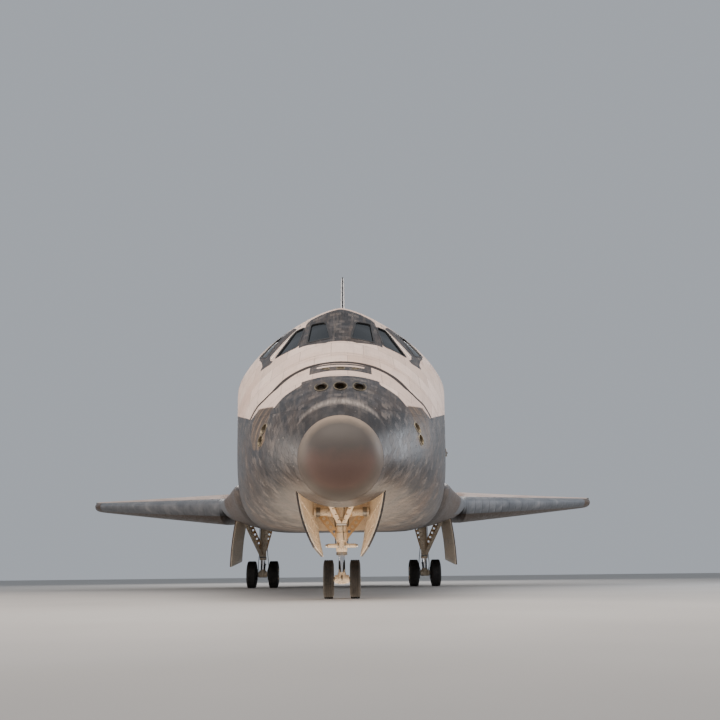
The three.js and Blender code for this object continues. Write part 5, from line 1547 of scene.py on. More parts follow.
def make_leading_edges():
    """The hard leading edge in 22 panels: each row is the wing's nose outline, a little smaller in the
    grooves between panels."""
    seams = EDGE_START + (TIP_START[0] - EDGE_START) * np.linspace(0, 1, 23)[1:-1]
    places = np.unique(np.concatenate([np.linspace(EDGE_START + 0.002, TIP_START[0] - 0.002, 90),
                                       [4.74, 4.9]]))
    outs = with_seams(places, seams, 0.03)
    rows = []
    for out, dent in zip(outs, seam_depth(outs, seams, 0.03, 0.009)):
        share = sweep_share(out)
        aft = float(lead_aft(out)) + np.linspace(0, 1, 22) ** 2 * (EDGE_DEPTH - 0.0003) / share
        low, high = wing_surface(out, aft, share)
        below = np.column_stack([np.full(22, out), aft, low])[::-1]
        row = np.concatenate([below, np.column_stack([np.full(22, out), aft, high])[1:]])
        arm = np.array([out, aft[-1], (low[-1] + high[-1]) / 2]) - row
        rows.append(row + arm / np.linalg.norm(arm, axis=1, keepdims=True).clip(0.01) * dent)
    pair("leading_edge_panels", framed([(skinned(rows), EDGE)]), replaces=["wing_leading_edge"])


def hinge_point(out, back, up):
    """A point in the plane square to the elevon hinge line, back and up from it."""
    def on_line(place):
        """A point of the hinge line itself."""
        return np.array([place, HINGE_AFT, keel_height(place, HINGE_AFT) + hinge_half(place)])
    run = on_line(TIP[0]) - on_line(ROOT_OUT)
    rise = unit([-run[2], 0, run[0]])
    return on_line(out) + np.outer(np.atleast_1d(up), rise) + np.outer(np.atleast_1d(back), [0, 1, 0])


def elevon_dark(points):
    """Black below the height of the hinge line, seen from the side."""
    out = np.abs(points[:, 0])
    return keel_height(out, np.full(len(out), HINGE_AFT)) + hinge_half(out) - points[:, 2]


def make_elevons():
    """Each elevon: a half-round nose about the hinge and straight sides to the trailing edge."""
    for name, (start, end) in ELEVONS.items():
        rows = []
        inner = np.linspace(start + 0.03, end - 0.03, 40)
        for out in np.concatenate([[start, start + 0.008], inner, [end - 0.008, end]]):
            lip = 0.008 if min(out - start, end - out) < 0.004 else 0.0
            radius = hinge_half(out) - lip
            turn = np.radians(np.linspace(90, 270, 25))
            chord = trail_aft(out) - HINGE_AFT
            edge = TRAIL_THICK / 2 - lip
            back = [radius * np.cos(turn), np.linspace(0, chord, 30)[1:], np.linspace(chord, 0, 30)[:-1]]
            up = [radius * np.sin(turn), np.linspace(-radius, -edge, 30)[1:],
                  np.linspace(edge, radius, 30)[:-1]]
            rows.append(hinge_point(out, np.concatenate(back), np.concatenate(up)))
        pair(name + "_skin", framed([(skinned(rows), HULL)]), name, [name],
             marks=marked(elevon_dark))


# Fin and rudder

def fin_share(height):
    """How far up the fin a height is, 0 at its root and 1 at its tip."""
    return (height - FIN_ROOT["height"]) / (FIN_TIP["height"] - FIN_ROOT["height"])


def fin_place(key, height):
    """Where a line of the fin runs at a height, straight from root to tip."""
    return mix(FIN_ROOT[key], FIN_TIP[key], fin_share(height))


def fin_half(height):
    """Half the fin's thickness at the hinge line, in a straight line from foot to top."""
    return mix(*RUDDER_HALF, (height - RUDDER_FOOT) / (RUDDER_TOP - RUDDER_FOOT))


HINGE_FOOT = np.array([0, fin_place("hinge", RUDDER_FOOT), RUDDER_FOOT])
HINGE_TOP = np.array([0, fin_place("hinge", RUDDER_TOP), RUDDER_TOP])
HINGE_LENGTH = float(np.linalg.norm(HINGE_TOP - HINGE_FOOT))
HINGE_UP = unit(HINGE_TOP - HINGE_FOOT)
HINGE_BACK = np.array([0, HINGE_UP[2], -HINGE_UP[1]])


def rudder_point(along, back, x):
    """A point by its place along the rudder's hinge line, back from it and out to port."""
    along, back, x = (part[..., None] for part in np.broadcast_arrays(along, back, x))
    return HINGE_FOOT + along * HINGE_UP + back * HINGE_BACK + x * np.array([1.0, 0, 0])


def rudder_chord(along):
    """How far behind the hinge line the trailing edge lies, square to the line."""
    slope = (FIN_TIP["trail"] - FIN_ROOT["trail"]) / (FIN_TIP["height"] - FIN_ROOT["height"])
    start = rudder_point(along, 0.0, 0.0)
    trail = FIN_ROOT["trail"] + slope * (start[2] - FIN_ROOT["height"])
    return (trail - start[1]) / (HINGE_BACK[1] - slope * HINGE_BACK[2])


def core_radius(along):
    """The radius of the rudder's core, 0.9 of half the thickness there."""
    return 0.9 * mix(*RUDDER_HALF, along / HINGE_LENGTH)


def fin_dark(points):
    """Black along the fin's leading and trailing edge."""
    lead, trail = fin_place("lead", points[:, 2]), fin_place("trail", points[:, 2])
    return np.maximum(0.34 - (points[:, 1] - lead) * 0.7, points[:, 1] - trail + 0.2)


def make_fin():
    """Fin outlines, one for each height: round at the front, thickest at the hinge line, thin behind."""
    rows = []
    t = np.linspace(0, 1, 40) ** 1.7
    u = np.linspace(0, 1, 16)[1:]
    swell = np.where(t < 0.03, 0.35 * np.sqrt(1 - (1 - np.clip(t / 0.03, 0, 1)) ** 2),
                     np.interp(t, [0, 0.03, 0.3, 1], [0, 0.35, 0.75, 1]))
    for height in np.linspace(FIN_ROOT["height"], FIN_TIP["height"], 90):
        lead, hinge, trail = (fin_place(key, height) for key in ("lead", "hinge", "trail"))
        half = fin_half(height)
        front = np.column_stack([half * swell, mix(lead, hinge, t), np.full(40, height)])
        back = np.column_stack([mix(half, RUDDER_TRAIL_HALF, u), mix(hinge, trail, u), np.full(15, height)])
        side = np.concatenate([front, back])
        rows.append(np.concatenate([side, (side * [-1, 1, 1])[:0:-1]]))
    backs, xs = np.array([-0.09, 4, 4, -0.09]), np.array([-0.4, -0.4, 0.4, 0.4])
    space = skinned([rudder_point(np.full(4, along), backs, xs) for along in (0.0, HINGE_LENGTH)])
    wall = [(0, core_radius(0.01) + 0.008), (HINGE_LENGTH - 0.02, core_radius(HINGE_LENGTH - 0.01) + 0.008)]
    bore = turned(wall, rudder_point(0.01, 0.0, 0.0), HINGE_UP, 48)
    front_cut = [(27.21, 2.4), (27.21, 2.616), (27.9, 4.049), (24.9, 4.049), (24.9, 2.4)]
    skirt_cut = [(31.2, 2.6), (31.2, 2.2), (34.2, 2.2), (34.2, 3.35)]
    cuts = [away("rudder_space", [space.in_frame()], DARK_METAL),
            away("rudder_bore", [bore.in_frame()], DARK_METAL),
            away("fin_front", [side_cutter(front_cut, 0.5)], BLANKET),
            away("fin_skirt", [side_cutter(skirt_cut, 0.5)], BLANKET)]
    piece("fin_skin", framed([(skinned(rows), HULL)]), replaces=["vertical_stabilizer"],
          cuts=cuts, marks=marked(fin_dark))


def make_rudder():
    """The rudder's core turned about the hinge line, and two panels that lie against it as one rudder."""
    end = HINGE_LENGTH
    low, high = core_radius(0), core_radius(end)
    profile = [(0.0003, 0.05), (0.02, 0.05), (0.02, low - 0.004), (0.024, low), (end - 0.024, high),
               (end - 0.02, high - 0.004), (end - 0.02, 0.05), (end - 0.0003, 0.05)]
    core = turned(profile, HINGE_FOOT, HINGE_UP, 48)
    piece("rudder_hinge_core", framed([(core, DARK_METAL)]), "rudder", replaces=["rudder_core"])
    rows = []
    for along in np.concatenate([[0.02, 0.028], np.linspace(0.06, end - 0.06, 48), [end - 0.028, end - 0.02]]):
        half = mix(*RUDDER_HALF, along / end)
        chord = rudder_chord(along)
        front = half * 1.13
        outer = mix(half, RUDDER_TRAIL_HALF, front / chord)
        backs = [np.linspace(core_radius(along) * 0.85, chord, 20), np.linspace(chord, front, 20)]
        xs = [np.full(20, 0.006), np.linspace(RUDDER_TRAIL_HALF, outer, 20)]
        rows.append(rudder_point(np.full(40, along), np.concatenate(backs), np.concatenate(xs)))
    wall = [(0, core_radius(-0.005) + 0.003), (end + 0.01, core_radius(end + 0.005) + 0.003)]
    bore = turned(wall, rudder_point(-0.005, 0.0, 0.0), HINGE_UP, 60)
    pair("speedbrake_panel", framed([(skinned(rows), HULL)]), "speedbrake", ["speedbrake"],
         cuts=[away("brake_bore", [bore.in_frame()], DARK_METAL)], marks=marked(brake_dark))


def brake_dark(points):
    """Black on the flat inner faces of the split rudder."""
    return 0.012 - np.abs(points[:, 0])


# Engines and pods

BELL_CURVE = np.array([(1.3, 0.3), (1.7, 0.56), (2.3, 0.81), (3.1, 1.01), (3.99, 1.15)])
MAIN_ENGINES = [("main_engine_top", 0.0, 30.658, 1.092, 16, 0.0),
                ("main_engine_left", 1.346, 31.242, -1.458, 10, 3.5),
                ("main_engine_right", -1.346, 31.242, -1.458, 10, -3.5)]


def make_engine(name, x, aft, height, pitch, splay):
    """A bell whose radius follows a smooth curve, with bands, a lip manifold, drain pipes and a shield."""
    pitch, splay = math.radians(pitch), math.radians(splay)
    way = np.array([math.sin(splay), math.cos(splay) * math.cos(pitch), math.sin(pitch)])
    start = np.array([x, aft, height])
    along = np.linspace(1.3, 3.99, 40)
    radius = smooth(BELL_CURVE, along, 1)
    outer = np.column_stack([along, radius - 0.012])
    inner = np.column_stack([along, radius - np.interp(along, [1.3, 3.99], [0.06, 0.045])])[::-1]
    profile = np.concatenate([[(1.0, 0.12), (1.0, 0.24), (1.2, 0.26)], outer, inner,
                              [(1.38, 0.2), (1.36, 0.05)]])
    shapes = [(turned(profile, start, way, 96), BELL)]
    for place in (1.55, 1.78, 2.02, 2.28, 2.56, 2.86, 3.18, 3.52):
        foot = smooth(BELL_CURVE, np.array([place]), 1)[0] - 0.014
        band = [(place - 0.035, foot), (place - 0.03, foot + 0.02), (place + 0.03, foot + 0.02),
                (place + 0.035, foot), (place + 0.03, foot - 0.02), (place - 0.03, foot - 0.02)]
        shapes.append((turned(band, start, way, 96, "loop"), STEEL))
    turn = np.linspace(0, 2 * np.pi, 16, endpoint=False)
    lip = [(3.945 + 0.045 * math.cos(t), 1.105 + 0.045 * math.sin(t)) for t in turn]
    shapes.append((turned(lip, start, way, 96, "loop"), STEEL))
    shield = [(0.3, 0.02), (0.3, 0.8), (0.72, 0.8), (0.86, 0.775), (0.98, 0.72), (1.08, 0.64), (1.16, 0.55),
              (1.22, 0.45), (1.26, 0.36), (1.24, 0.2)]
    shapes.append((turned(shield, start, way, 72), BLANKET))
    first, second = square_to(way)
    places = np.linspace(1.35, 3.9, 14)
    radii = smooth(BELL_CURVE, places, 1) + 0.028
    for angle in (0.6, 2.7, 3.9, 5.5):
        out = first * math.cos(angle) + second * math.sin(angle)
        shapes.append((tube(start + places[:, None] * way + radii[:, None] * out, 0.022, 8), STEEL))
    piece(name + "_bell", framed(shapes), replaces=[name])


POD = np.array([(27.32, 1.50, 1.50, 0.35, 0.50), (28.2, 1.80, 1.76, 0.88, 1.15),
                (29.6, 1.93, 1.90, 1.11, 1.40), (31.5, 1.96, 1.90, 1.12, 1.40),
                (33.2, 2.05, 2.00, 0.86, 1.02)])

POD_NOSE = 0.12


def pod_dark(points):
    """Black tiles on the pod's nose and round its rear nozzles."""
    rear = np.minimum(points[:, 1] - 32.45, np.abs(points[:, 0]) - 2.2)
    return np.maximum(28.0 - points[:, 1] - 0.25 * (points[:, 2] - 1.6), rear)


def make_pods():
    """Pod sections are ellipses whose middle and two radii follow smooth curves, rounded off at the nose."""
    turn = np.linspace(0, 2 * np.pi, 120, endpoint=False)
    nose = POD[0, 0] + POD_NOSE * (1 - np.cos(np.linspace(0.15, np.pi / 2, 8)))
    places = np.concatenate([nose, spread(27.5, 33.16, 0.075), [33.19, 33.2, 33.2]])
    shrinks = np.zeros(len(places))
    shrinks[-3:] = (0.004, 0.015, 0.2)
    rows = []
    for aft, shrink in zip(places, shrinks):
        x, height, half, tall = (smooth(POD, np.array([aft]), column)[0] for column in range(1, 5))
        if aft < POD[0, 0] + POD_NOSE:
            swell = math.sqrt(1 - (1 - (aft - POD[0, 0]) / POD_NOSE) ** 2) * 0.96 + 0.04
            half, tall = half * swell, tall * swell
        rows.append(np.column_stack([x + (half - shrink) * np.cos(turn), np.full(120, aft),
                                     height + (tall - shrink) * np.sin(turn)]))
    housing = block((2.28, 32.2, 1.35), (3.02, 33.15, 2.25), 0.12, 5)
    pair("pod_shell", framed([(skinned(rows), HULL), (housing, HULL)]),
         replaces=["manoeuvring_pod"], marks=marked(pod_dark))
    rims = []
    for height in (1.62, 1.98):
        for column in range(3):
            profile = [(0, 0.075), (0.05, 0.1), (0.056, 0.094), (0.02, 0.06), (0.012, 0.0)]
            rims.append((turned(profile, (2.97, 32.42 + 0.26 * column, height), (1, 0, 0.1), 24), NOZZLE))
        for column in range(2):
            profile = [(0, 0.075), (0.09, 0.1), (0.096, 0.094), (0.03, 0.06), (0.022, 0.0)]
            rims.append((turned(profile, (2.45 + 0.27 * column, 33.1, height), (0, 1, 0.1), 24), NOZZLE))
    pair("pod_nozzles", framed(rims))


def make_pod_bells():
    """A short throat that narrows straight, then a bell that widens along a smooth curve, with three hoops."""
    start = np.array([2.2, 33.12, 2.25])
    way = unit([0.06, 1, 0.12])
    table = np.array([(0.0, 0.26), (0.25, 0.2), (0.7, 0.431), (1.4, 0.55)])
    along = np.concatenate([np.linspace(0.06, 0.25, 6)[:-1], np.linspace(0.25, 1.4, 24)])
    radius = np.interp(along, table[:2, 0], table[:2, 1])
    radius = np.where(along > 0.25, smooth(table[1:], np.maximum(along, 0.25), 1), radius)
    outside = np.column_stack([along, radius])
    inside = (outside[5:] - [0, 0.035])[::-1]
    bell = turned(np.concatenate([outside, inside, [(0.24, 0.08), (0.235, 0.01)]]), start, way, 64)
    shapes = [(bell, BELL)]
    for place in (0.5, 0.85, 1.3):
        foot = float(np.interp(place, along, radius))
        hoop = [(place - 0.02, foot), (place - 0.02, foot + 0.014), (place + 0.02, foot + 0.018),
                (place + 0.02, foot - 0.01)]
        shapes.append((turned(hoop, start, way, 64, "loop"), STEEL))
    pair("pod_bell", framed(shapes), replaces=["pod_engine_bell"])


# Landing gear, upright in the row frame

AIR_COS, AIR_SIN = math.cos(PITCH), math.sin(PITCH)
NOSE_GEAR_Y = -14.66
NOSE_AXLE = 0.40001
NOSE_BEAM = 1.8
NOSE_BRACE_FOOT = 1.55
MAIN_GEAR = (3.455, 5.69)
MAIN_AXLE = 0.55804
MAIN_BEAM = 2.87
MAIN_BRACE_FOOT = 1.3
MAIN_REACH = (2.9006, 4.2294)


def well_reach(y, z, radius):
    """How far out a crossbar of the nose gear reaches at a place: to the wall of its leaning well."""
    aft = (y - NOSE_TIP[1]) * AIR_COS + (z - NOSE_TIP[2]) * AIR_SIN
    return well_half(aft + radius) - 0.0006


def strap(start, end, width, thick, way, taper=1.0):
    """A flat bar with round ends between two points, its face square to a way."""
    start, end = np.asarray(start, float), np.asarray(end, float)
    along = unit(end - start)
    way = unit(way - np.dot(way, along) * along)
    across = np.cross(way, along)
    turn = np.linspace(-np.pi / 2, np.pi / 2, 9)[:, None]
    far = end + 0.5 * width * taper * (np.cos(turn) * along + np.sin(turn) * across)
    near = start - 0.5 * width * (np.cos(turn) * along + np.sin(turn) * across)
    return slab(np.concatenate([far, near]) - way * thick / 2, thick, way)


def holes_along(start, end, radius, depth, way, count, margin=0.16):
    """Round cutters spaced along a strap."""
    start, end = np.asarray(start, float), np.asarray(end, float)
    way = unit(way)
    return [turned([(0, radius), (depth, radius)], start + (end - start) * share - way * depth / 2, way, 24)
            for share in np.linspace(margin, 1 - margin, count)]


def collar(centre, way, radius, width):
    """A short round band about a way, centred on a point."""
    way = unit(way)
    start = np.asarray(centre, float) - way * width / 2
    lip = 0.006
    profile = [(0, radius - lip), (lip, radius), (width - lip, radius), (width, radius - lip)]
    return turned(profile, start, way, 40)


def bolts(centre, way, ring, radius, height, count):
    """Small six-sided bolt heads in a ring."""
    way = unit(way)
    first, second = square_to(way)
    heads = []
    for angle in np.linspace(0, 2 * np.pi, count, endpoint=False):
        place = np.asarray(centre, float) + ring * (math.cos(angle) * first + math.sin(angle) * second)
        heads.append(turned([(-0.01, radius), (height * 0.8, radius), (height, radius * 0.8)], place, way, 6))
    return heads


def tyre_shape(x, y, z, radius, width, rim, grooves):
    """A tyre turned about its axle: beads, bulging side walls, round shoulders and grooves in the tread."""
    half = width / 2
    side = np.linspace(0, 1, 14)
    wall_x = half * (0.86 + 0.14 * np.sin(np.pi * np.clip(side * 1.05, 0, 1)))
    wall_r = mix(rim + 0.0005, radius - 0.2 * half, side)
    turn = np.linspace(0.12, np.pi / 2, 10)
    shoulder_x = half * (0.56 + 0.30 * np.cos(turn))
    shoulder_r = radius - 0.2 * half + 0.2 * half * np.sin(turn)
    tread_x, tread_r = [], []
    for place in sorted(grooves, reverse=True):
        for offset, drop in ((0.008, 0), (0.006, 0.011), (-0.006, 0.011), (-0.008, 0)):
            tread_x.append(place * half + offset)
            tread_r.append(radius - drop)
    right = np.column_stack([np.concatenate([wall_x, shoulder_x]), np.concatenate([wall_r, shoulder_r])])
    tread = np.column_stack([tread_x, tread_r])
    left = (right * [-1, 1])[::-1]
    profile = np.concatenate([right, tread, left])
    rims = np.array([(-half * 0.8, rim + 0.0005), (half * 0.8, rim + 0.0005)])
    return turned(np.concatenate([profile, rims]), (x, y, z), (1, 0, 0), 96, "loop")


def wheel_shapes(x, y, z, sign, width, rim, cap):
    """A wheel: a dished disc, rolled rim, ventilation holes as discs of painted shade, a hub cap and bolts."""
    out = np.array([sign, 0.0, 0.0])
    face = np.array([x + sign * (width / 2 - 0.02), y, z])
    profile = [(-width * 0.8, rim * 0.62), (-width * 0.8, rim), (0.0, rim), (0.012, rim * 0.96),
               (0.0, rim * 0.9), (-0.035, rim * 0.84), (-0.045, rim * 0.6), (-0.02, rim * 0.5),
               (0.0, rim * 0.42)]
    shapes = [(turned(profile, face, out, 72), CREAM)]
    shapes.append((turned([(-0.03, cap * 0.9), (0.012, cap * 0.9), (0.026, cap * 0.7), (0.03, cap * 0.2)],
                          face, out, 40), STEEL))
    shapes += [(head, STEEL) for head in bolts(face - out * 0.042, out, rim * 0.72, 0.011, 0.02, 10)]
    shapes += [(head, DARK_METAL) for head in bolts(face + out * 0.002, out, rim * 0.47, 0.006, 0.01, 8)]
    first, second = square_to(out)
    # Ventilation holes: near-black discs of painted shade on the dish, standing in for holes that are not cut
    for angle in np.linspace(0, 2 * np.pi, 9)[:-1] + 0.3:
        place = face - out * 0.05 + rim * 0.7 * (math.cos(angle) * first + math.sin(angle) * second)
        shapes.append((turned([(-0.002, 0.018 + rim * 0.04), (0.012, 0.018 + rim * 0.04)], place, out, 20),
                       HOLE_SHADE))
    return shapes


def make_nose_gear():
    """The strut with its crossbar, steering cylinders and arms, the brace, hoses, the fork and two wheels."""
    y = NOSE_GEAR_Y
    strut = turned([(0.96, 0.085), (0.962, 0.11), (1.0, 0.12), (1.05, 0.12), (1.06, 0.108), (1.19, 0.108),
                    (1.2, 0.125), (1.36, 0.125), (1.38, 0.108), (1.68, 0.108), (1.7, 0.13), (1.9, 0.13),
                    (1.92, 0.108), (2.2, 0.108), (2.22, 0.12), (2.36, 0.12), (2.38, 0.105), (2.45, 0.1)],
                   (0, y, 0), (0, 0, 1), 56)
    reach = well_reach(y, NOSE_BEAM, 0.09)
    shapes = [(strut, CREAM), (bar((-reach, y, NOSE_BEAM), (reach, y, NOSE_BEAM), 0.09, 40), CREAM)]
    for sign in (1, -1):
        shapes.append((collar((sign * (reach - 0.1), y, NOSE_BEAM), (1, 0, 0), 0.105, 0.09), STEEL))
        shapes.append((collar((sign * 0.2, y, NOSE_BEAM), (1, 0, 0), 0.102, 0.05), GOLD))
        shapes.append((bar((sign * 0.05, y - 0.11, 1.09), (sign * 0.30, y - 0.11, 1.09), 0.042, 24), CREAM))
        shapes.append((bar((sign * 0.30, y - 0.11, 1.09), (sign * 0.34, y - 0.10, 1.09), 0.03, 20), CHROME))
        shapes.append((collar((sign * 0.07, y - 0.11, 1.09), (1, 0, 0), 0.05, 0.03), STEEL))
    arms, cutters = [], []
    for sign in (1, -1):
        start, end = np.array([sign * 0.06, y, 1.27]), np.array([sign * (reach - 0.12), y, NOSE_BEAM - 0.01])
        arms.append((strap(start, end, 0.16, 0.07, np.array([0, 1.0, 0]), 0.9), GOLD))
        cutters += holes_along(start, end, 0.036, 0.3, (0, 1, 0), 4, 0.24)
    piece("nose_strut", shapes, replaces=["nose_gear_leg"])
    piece("nose_strut_arms", arms, cuts=[away("arm_holes", cutters, GOLD)])
    beam = well_reach(-15.9, 2.25, 0.055)
    low = np.array([0, y - 0.1, NOSE_BRACE_FOOT])
    braces, cutters = [], []
    for sign in (1, -1):
        end = np.array([sign * (beam - 0.33), -15.9, 2.25])
        way = np.cross(end - low, [1, 0, 0])
        braces.append((strap(low + [sign * 0.05, -0.03, 0.02], end, 0.1, 0.05, way, 1.0), CREAM))
        cutters += holes_along(low, end, 0.026, 0.3, unit(way), 6, 0.14)
    holes = away("brace_holes", cutters, CREAM)
    rest = [(bar((-beam, -15.9, 2.25), (beam, -15.9, 2.25), 0.055, 32), GOLD)]
    for place in (-0.8, -0.45, 0.45, 0.8):
        rest.append((collar((place * (beam - 0.06), -15.9, 2.25), (1, 0, 0), 0.07, 0.08), STEEL))
    rest.append((collar((0, y - 0.1, NOSE_BRACE_FOOT), (1, 0, 0), 0.05, 0.22), STEEL))
    piece("nose_brace_straps", braces, replaces=["nose_gear_brace"], cuts=[holes])
    piece("nose_brace_beam", rest)
    hoses = []
    for sign in (1, -1):
        path = [(sign * 0.13, y + 0.06, 2.2), (sign * 0.16, y + 0.09, 1.9), (sign * 0.135, y + 0.1, 1.5),
                (sign * 0.13, y + 0.11, 1.2), (sign * 0.12, y + 0.08, 1.05)]
        hoses.append((tube(curve(path), 0.012, 10), HOSE))
    hoses.append((tube(curve([(0.05, y - 0.125, 2.3), (0.06, y - 0.13, 1.9), (0.03, y - 0.13, 1.5),
                              (0.05, y - 0.14, 1.2)]), 0.009, 10), STEEL))
    hoses.append((block((-0.07, y + 0.09, 1.64), (0.07, y + 0.16, 1.86), 0.015), CREAM))
    piece("nose_strut_hoses", hoses)
    fork = [
        (turned([(0.42, 0.06), (0.43, 0.072), (0.93, 0.072), (0.9596, 0.072)], (0, y, 0), (0, 0, 1), 48),
         CHROME),
        (turned([(0.30, 0.06), (0.31, 0.085), (0.50, 0.09), (0.54, 0.078)], (0, y, 0), (0, 0, 1), 48), CREAM),
        (collar((0, y, NOSE_AXLE), (1, 0, 0), 0.085, 0.30), CREAM),
        (collar((0, y, 0.925), (0, 0, 1), 0.118, 0.06), STEEL),
    ]
    knee = np.array([0, y + 0.33, 0.72])
    for sign in (1, -1):
        fork.append((strap((sign * 0.05, y + 0.1, 0.925), knee + [sign * 0.02, 0, 0.004], 0.05, 0.026,
                           np.array([1.0, 0, 0])), CREAM))
        fork.append((strap((sign * 0.05, y + 0.07, 0.50), knee + [sign * 0.045, 0, -0.004], 0.05, 0.024,
                           np.array([1.0, 0, 0])), CREAM))
    fork.append((bar(knee - [0.075, 0, 0], knee + [0.075, 0, 0], 0.018, 16), STEEL))
    fork.append((bar((-0.075, y + 0.09, 0.925), (0.075, y + 0.09, 0.925), 0.022, 16), STEEL))
    fork.append((strap((0, y - 0.09, 0.46), (0, y - 0.2, 0.40), 0.06, 0.03, np.array([1.0, 0, 0])), STEEL))
    piece("nose_fork_piston", fork, "nose_fork", replaces=["nose_gear_piston"])
    hub = [(bar((-0.4, y, NOSE_AXLE), (0.4, y, NOSE_AXLE), 0.0478, 40), STEEL)]
    for sign, side in ((1, "left"), (-1, "right")):
        hub += wheel_shapes(sign * 0.28, y, NOSE_AXLE, sign, 0.224, 0.205, 0.09)
        tyre = tyre_shape(sign * 0.28, y, NOSE_AXLE, NOSE_AXLE - 0.0002, 0.224, 0.205, (-0.4, 0.0, 0.4))
        piece("nose_wheel_tyre_" + side, [(tyre, RUBBER)], "nose_wheels",
              replaces=["nose_tyre_" + side])
    piece("nose_wheels_hubs", hub, "nose_wheels", replaces=["nose_wheel_hubs"])


def make_main_gear():
    """The strut with its crossbar, arms, piston and links, the brace, hoses and two wheels, on each side."""
    x, y = MAIN_GEAR
    strut = turned([(1.158, 0.1), (1.16, 0.135), (1.2, 0.15), (1.27, 0.15), (1.29, 0.134), (1.53, 0.134),
                    (1.55, 0.16), (1.71, 0.16), (1.73, 0.134), (2.72, 0.134), (2.74, 0.16), (3.02, 0.16),
                    (3.04, 0.13), (3.3, 0.12)], (x, y, 0), (0, 0, 1), 56)
    low, high = MAIN_REACH
    shapes = [(strut, CREAM), (bar((low, y, MAIN_BEAM), (high, y, MAIN_BEAM), 0.11, 40), CREAM)]
    for place in (low + 0.07, high - 0.07):
        shapes.append((collar((place, y, MAIN_BEAM), (1, 0, 0), 0.128, 0.1), STEEL))
    shapes.append((turned([(0.60, 0.1013), (1.159, 0.1013)], (x, y, 0), (0, 0, 1), 48), CHROME))
    shapes.append((turned([(0.43, 0.11), (0.45, 0.145), (0.66, 0.15), (0.72, 0.12), (0.76, 0.11)], (x, y, 0),
                          (0, 0, 1), 48), CREAM))
    shapes.append((collar((x, y, MAIN_AXLE), (1, 0, 0), 0.13, 0.38), CREAM))
    knee = np.array([x, y + 0.46, 0.98])
    for sign in (1, -1):
        shapes.append((strap((x + sign * 0.07, y + 0.15, 1.24), knee + [sign * 0.025, 0, 0.004], 0.07, 0.035,
                             np.array([1.0, 0, 0])), CREAM))
        shapes.append((strap((x + sign * 0.07, y + 0.13, 0.70), knee + [sign * 0.062, 0, -0.004], 0.07, 0.032,
                             np.array([1.0, 0, 0])), CREAM))
    shapes.append((bar(knee - [0.1, 0, 0], knee + [0.1, 0, 0], 0.024, 16), STEEL))
    arms, cutters = [], []
    for end_x in (low + 0.13, high - 0.13):
        sign = 1 if end_x > x else -1
        start, end = np.array([x + sign * 0.08, y, 1.63]), np.array([end_x, y, MAIN_BEAM - 0.02])
        arms.append((strap(start, end, 0.2, 0.09, np.array([0, 1.0, 0]), 0.85), GOLD))
        cutters += holes_along(start, end, 0.048, 0.4, (0, 1, 0), 5, 0.2)
    hoses = []
    for sign in (1, -1):
        path = [(x + sign * 0.15, y + 0.09, 2.9), (x + sign * 0.17, y + 0.12, 2.4),
                (x + sign * 0.16, y + 0.12, 1.7), (x + sign * 0.2, y + 0.2, 1.2),
                (x + sign * 0.22, y + 0.24, 0.9), (x + sign * 0.16, y + 0.12, 0.64)]
        hoses.append((tube(curve(path), 0.014, 10), HOSE))
    brace, brace_holes = [], []
    foot = np.array([x, y - 0.125, MAIN_BRACE_FOOT])
    for end_x in (low + 0.15, high - 0.15):
        end = np.array([end_x, 3.3, 2.8])
        way = np.cross(end - foot, [1, 0, 0])
        brace.append((strap(foot + [0.06 if end_x > x else -0.06, -0.02, 0.02], end, 0.13, 0.06, way, 1.0),
                      CREAM))
        brace_holes += holes_along(foot, end, 0.034, 0.4, unit(way), 9, 0.1)
    beam = [(bar((low, 3.3, 2.8), (high, 3.3, 2.8), 0.07, 32), GOLD),
            (collar((x, y - 0.12, MAIN_BRACE_FOOT), (1, 0, 0), 0.06, 0.28), STEEL)]
    sets = (("leg", shapes, ["main_gear_leg"], None), ("leg_arms", arms, [], cutters),
            ("brace", brace, ["main_gear_brace"], brace_holes), ("brace_beam", beam, [], None),
            ("hoses", hoses, [], None))
    for name, made, stands_for, cutting in sets:
        cuts = [] if cutting is None else [away("gear_holes", cutting, CREAM)]
        pair("main_" + name, made, replaces=stands_for, cuts=cuts)
    for sign, side in ((1, "left"), (-1, "right")):
        body = "main_wheels_" + side
        centre = sign * x
        hub = [(bar((centre - 0.66, y, MAIN_AXLE), (centre + 0.66, y, MAIN_AXLE), 0.0747, 40), STEEL)]
        for out, end in ((1, "left"), (-1, "right")):
            place = centre + out * 0.465
            hub += wheel_shapes(place, y, MAIN_AXLE, out, 0.41, 0.27, 0.13)
            hub.append((turned([(0, 0.12), (0, 0.24), (0.1, 0.245), (0.12, 0.2)],
                               (place - out * 0.245, y, MAIN_AXLE), (out, 0, 0), 48), DARK_METAL))
            tyre = tyre_shape(place, y, MAIN_AXLE, MAIN_AXLE - 0.0002, 0.41, 0.27, (-0.45, -0.15, 0.15, 0.45))
            piece("main_wheel_tyre_" + side + "_" + end, [(tyre, RUBBER)], body,
                  replaces=["main_" + side + "_tyre_" + end])
        piece("main_wheels_hubs_" + side, hub, body, replaces=["main_" + side + "_wheel_hubs"])


def door_line(hinge, edge, bulge, share, t):
    """Points of a gear door's outer face, at a share of its length and shares of its height: at each place
    aft, a parabola from the hinge edge to the free edge that bulges outward. Also the way inward."""
    top, bottom = mix(hinge[0], hinge[1], share), mix(edge[0], edge[1], share)
    swell = mix(bulge[0], bulge[1], share)
    inward = unit([bottom[2] - top[2], 0, top[0] - bottom[0]])
    return top + (bottom - top) * t - inward * swell * 4 * t * (1 - t), inward


def door_plate(door, near, far):
    """A curved plate between two depths inward of a gear door's outer face."""
    rings = []
    for share in np.linspace(0, 1, 40):
        outer, inward = door_line(*door, share, np.linspace(0, 1, 24)[:, None])
        rings.append(np.concatenate([outer + inward * near, (outer + inward * far)[::-1]]))
    return skinned(rings, "strip")


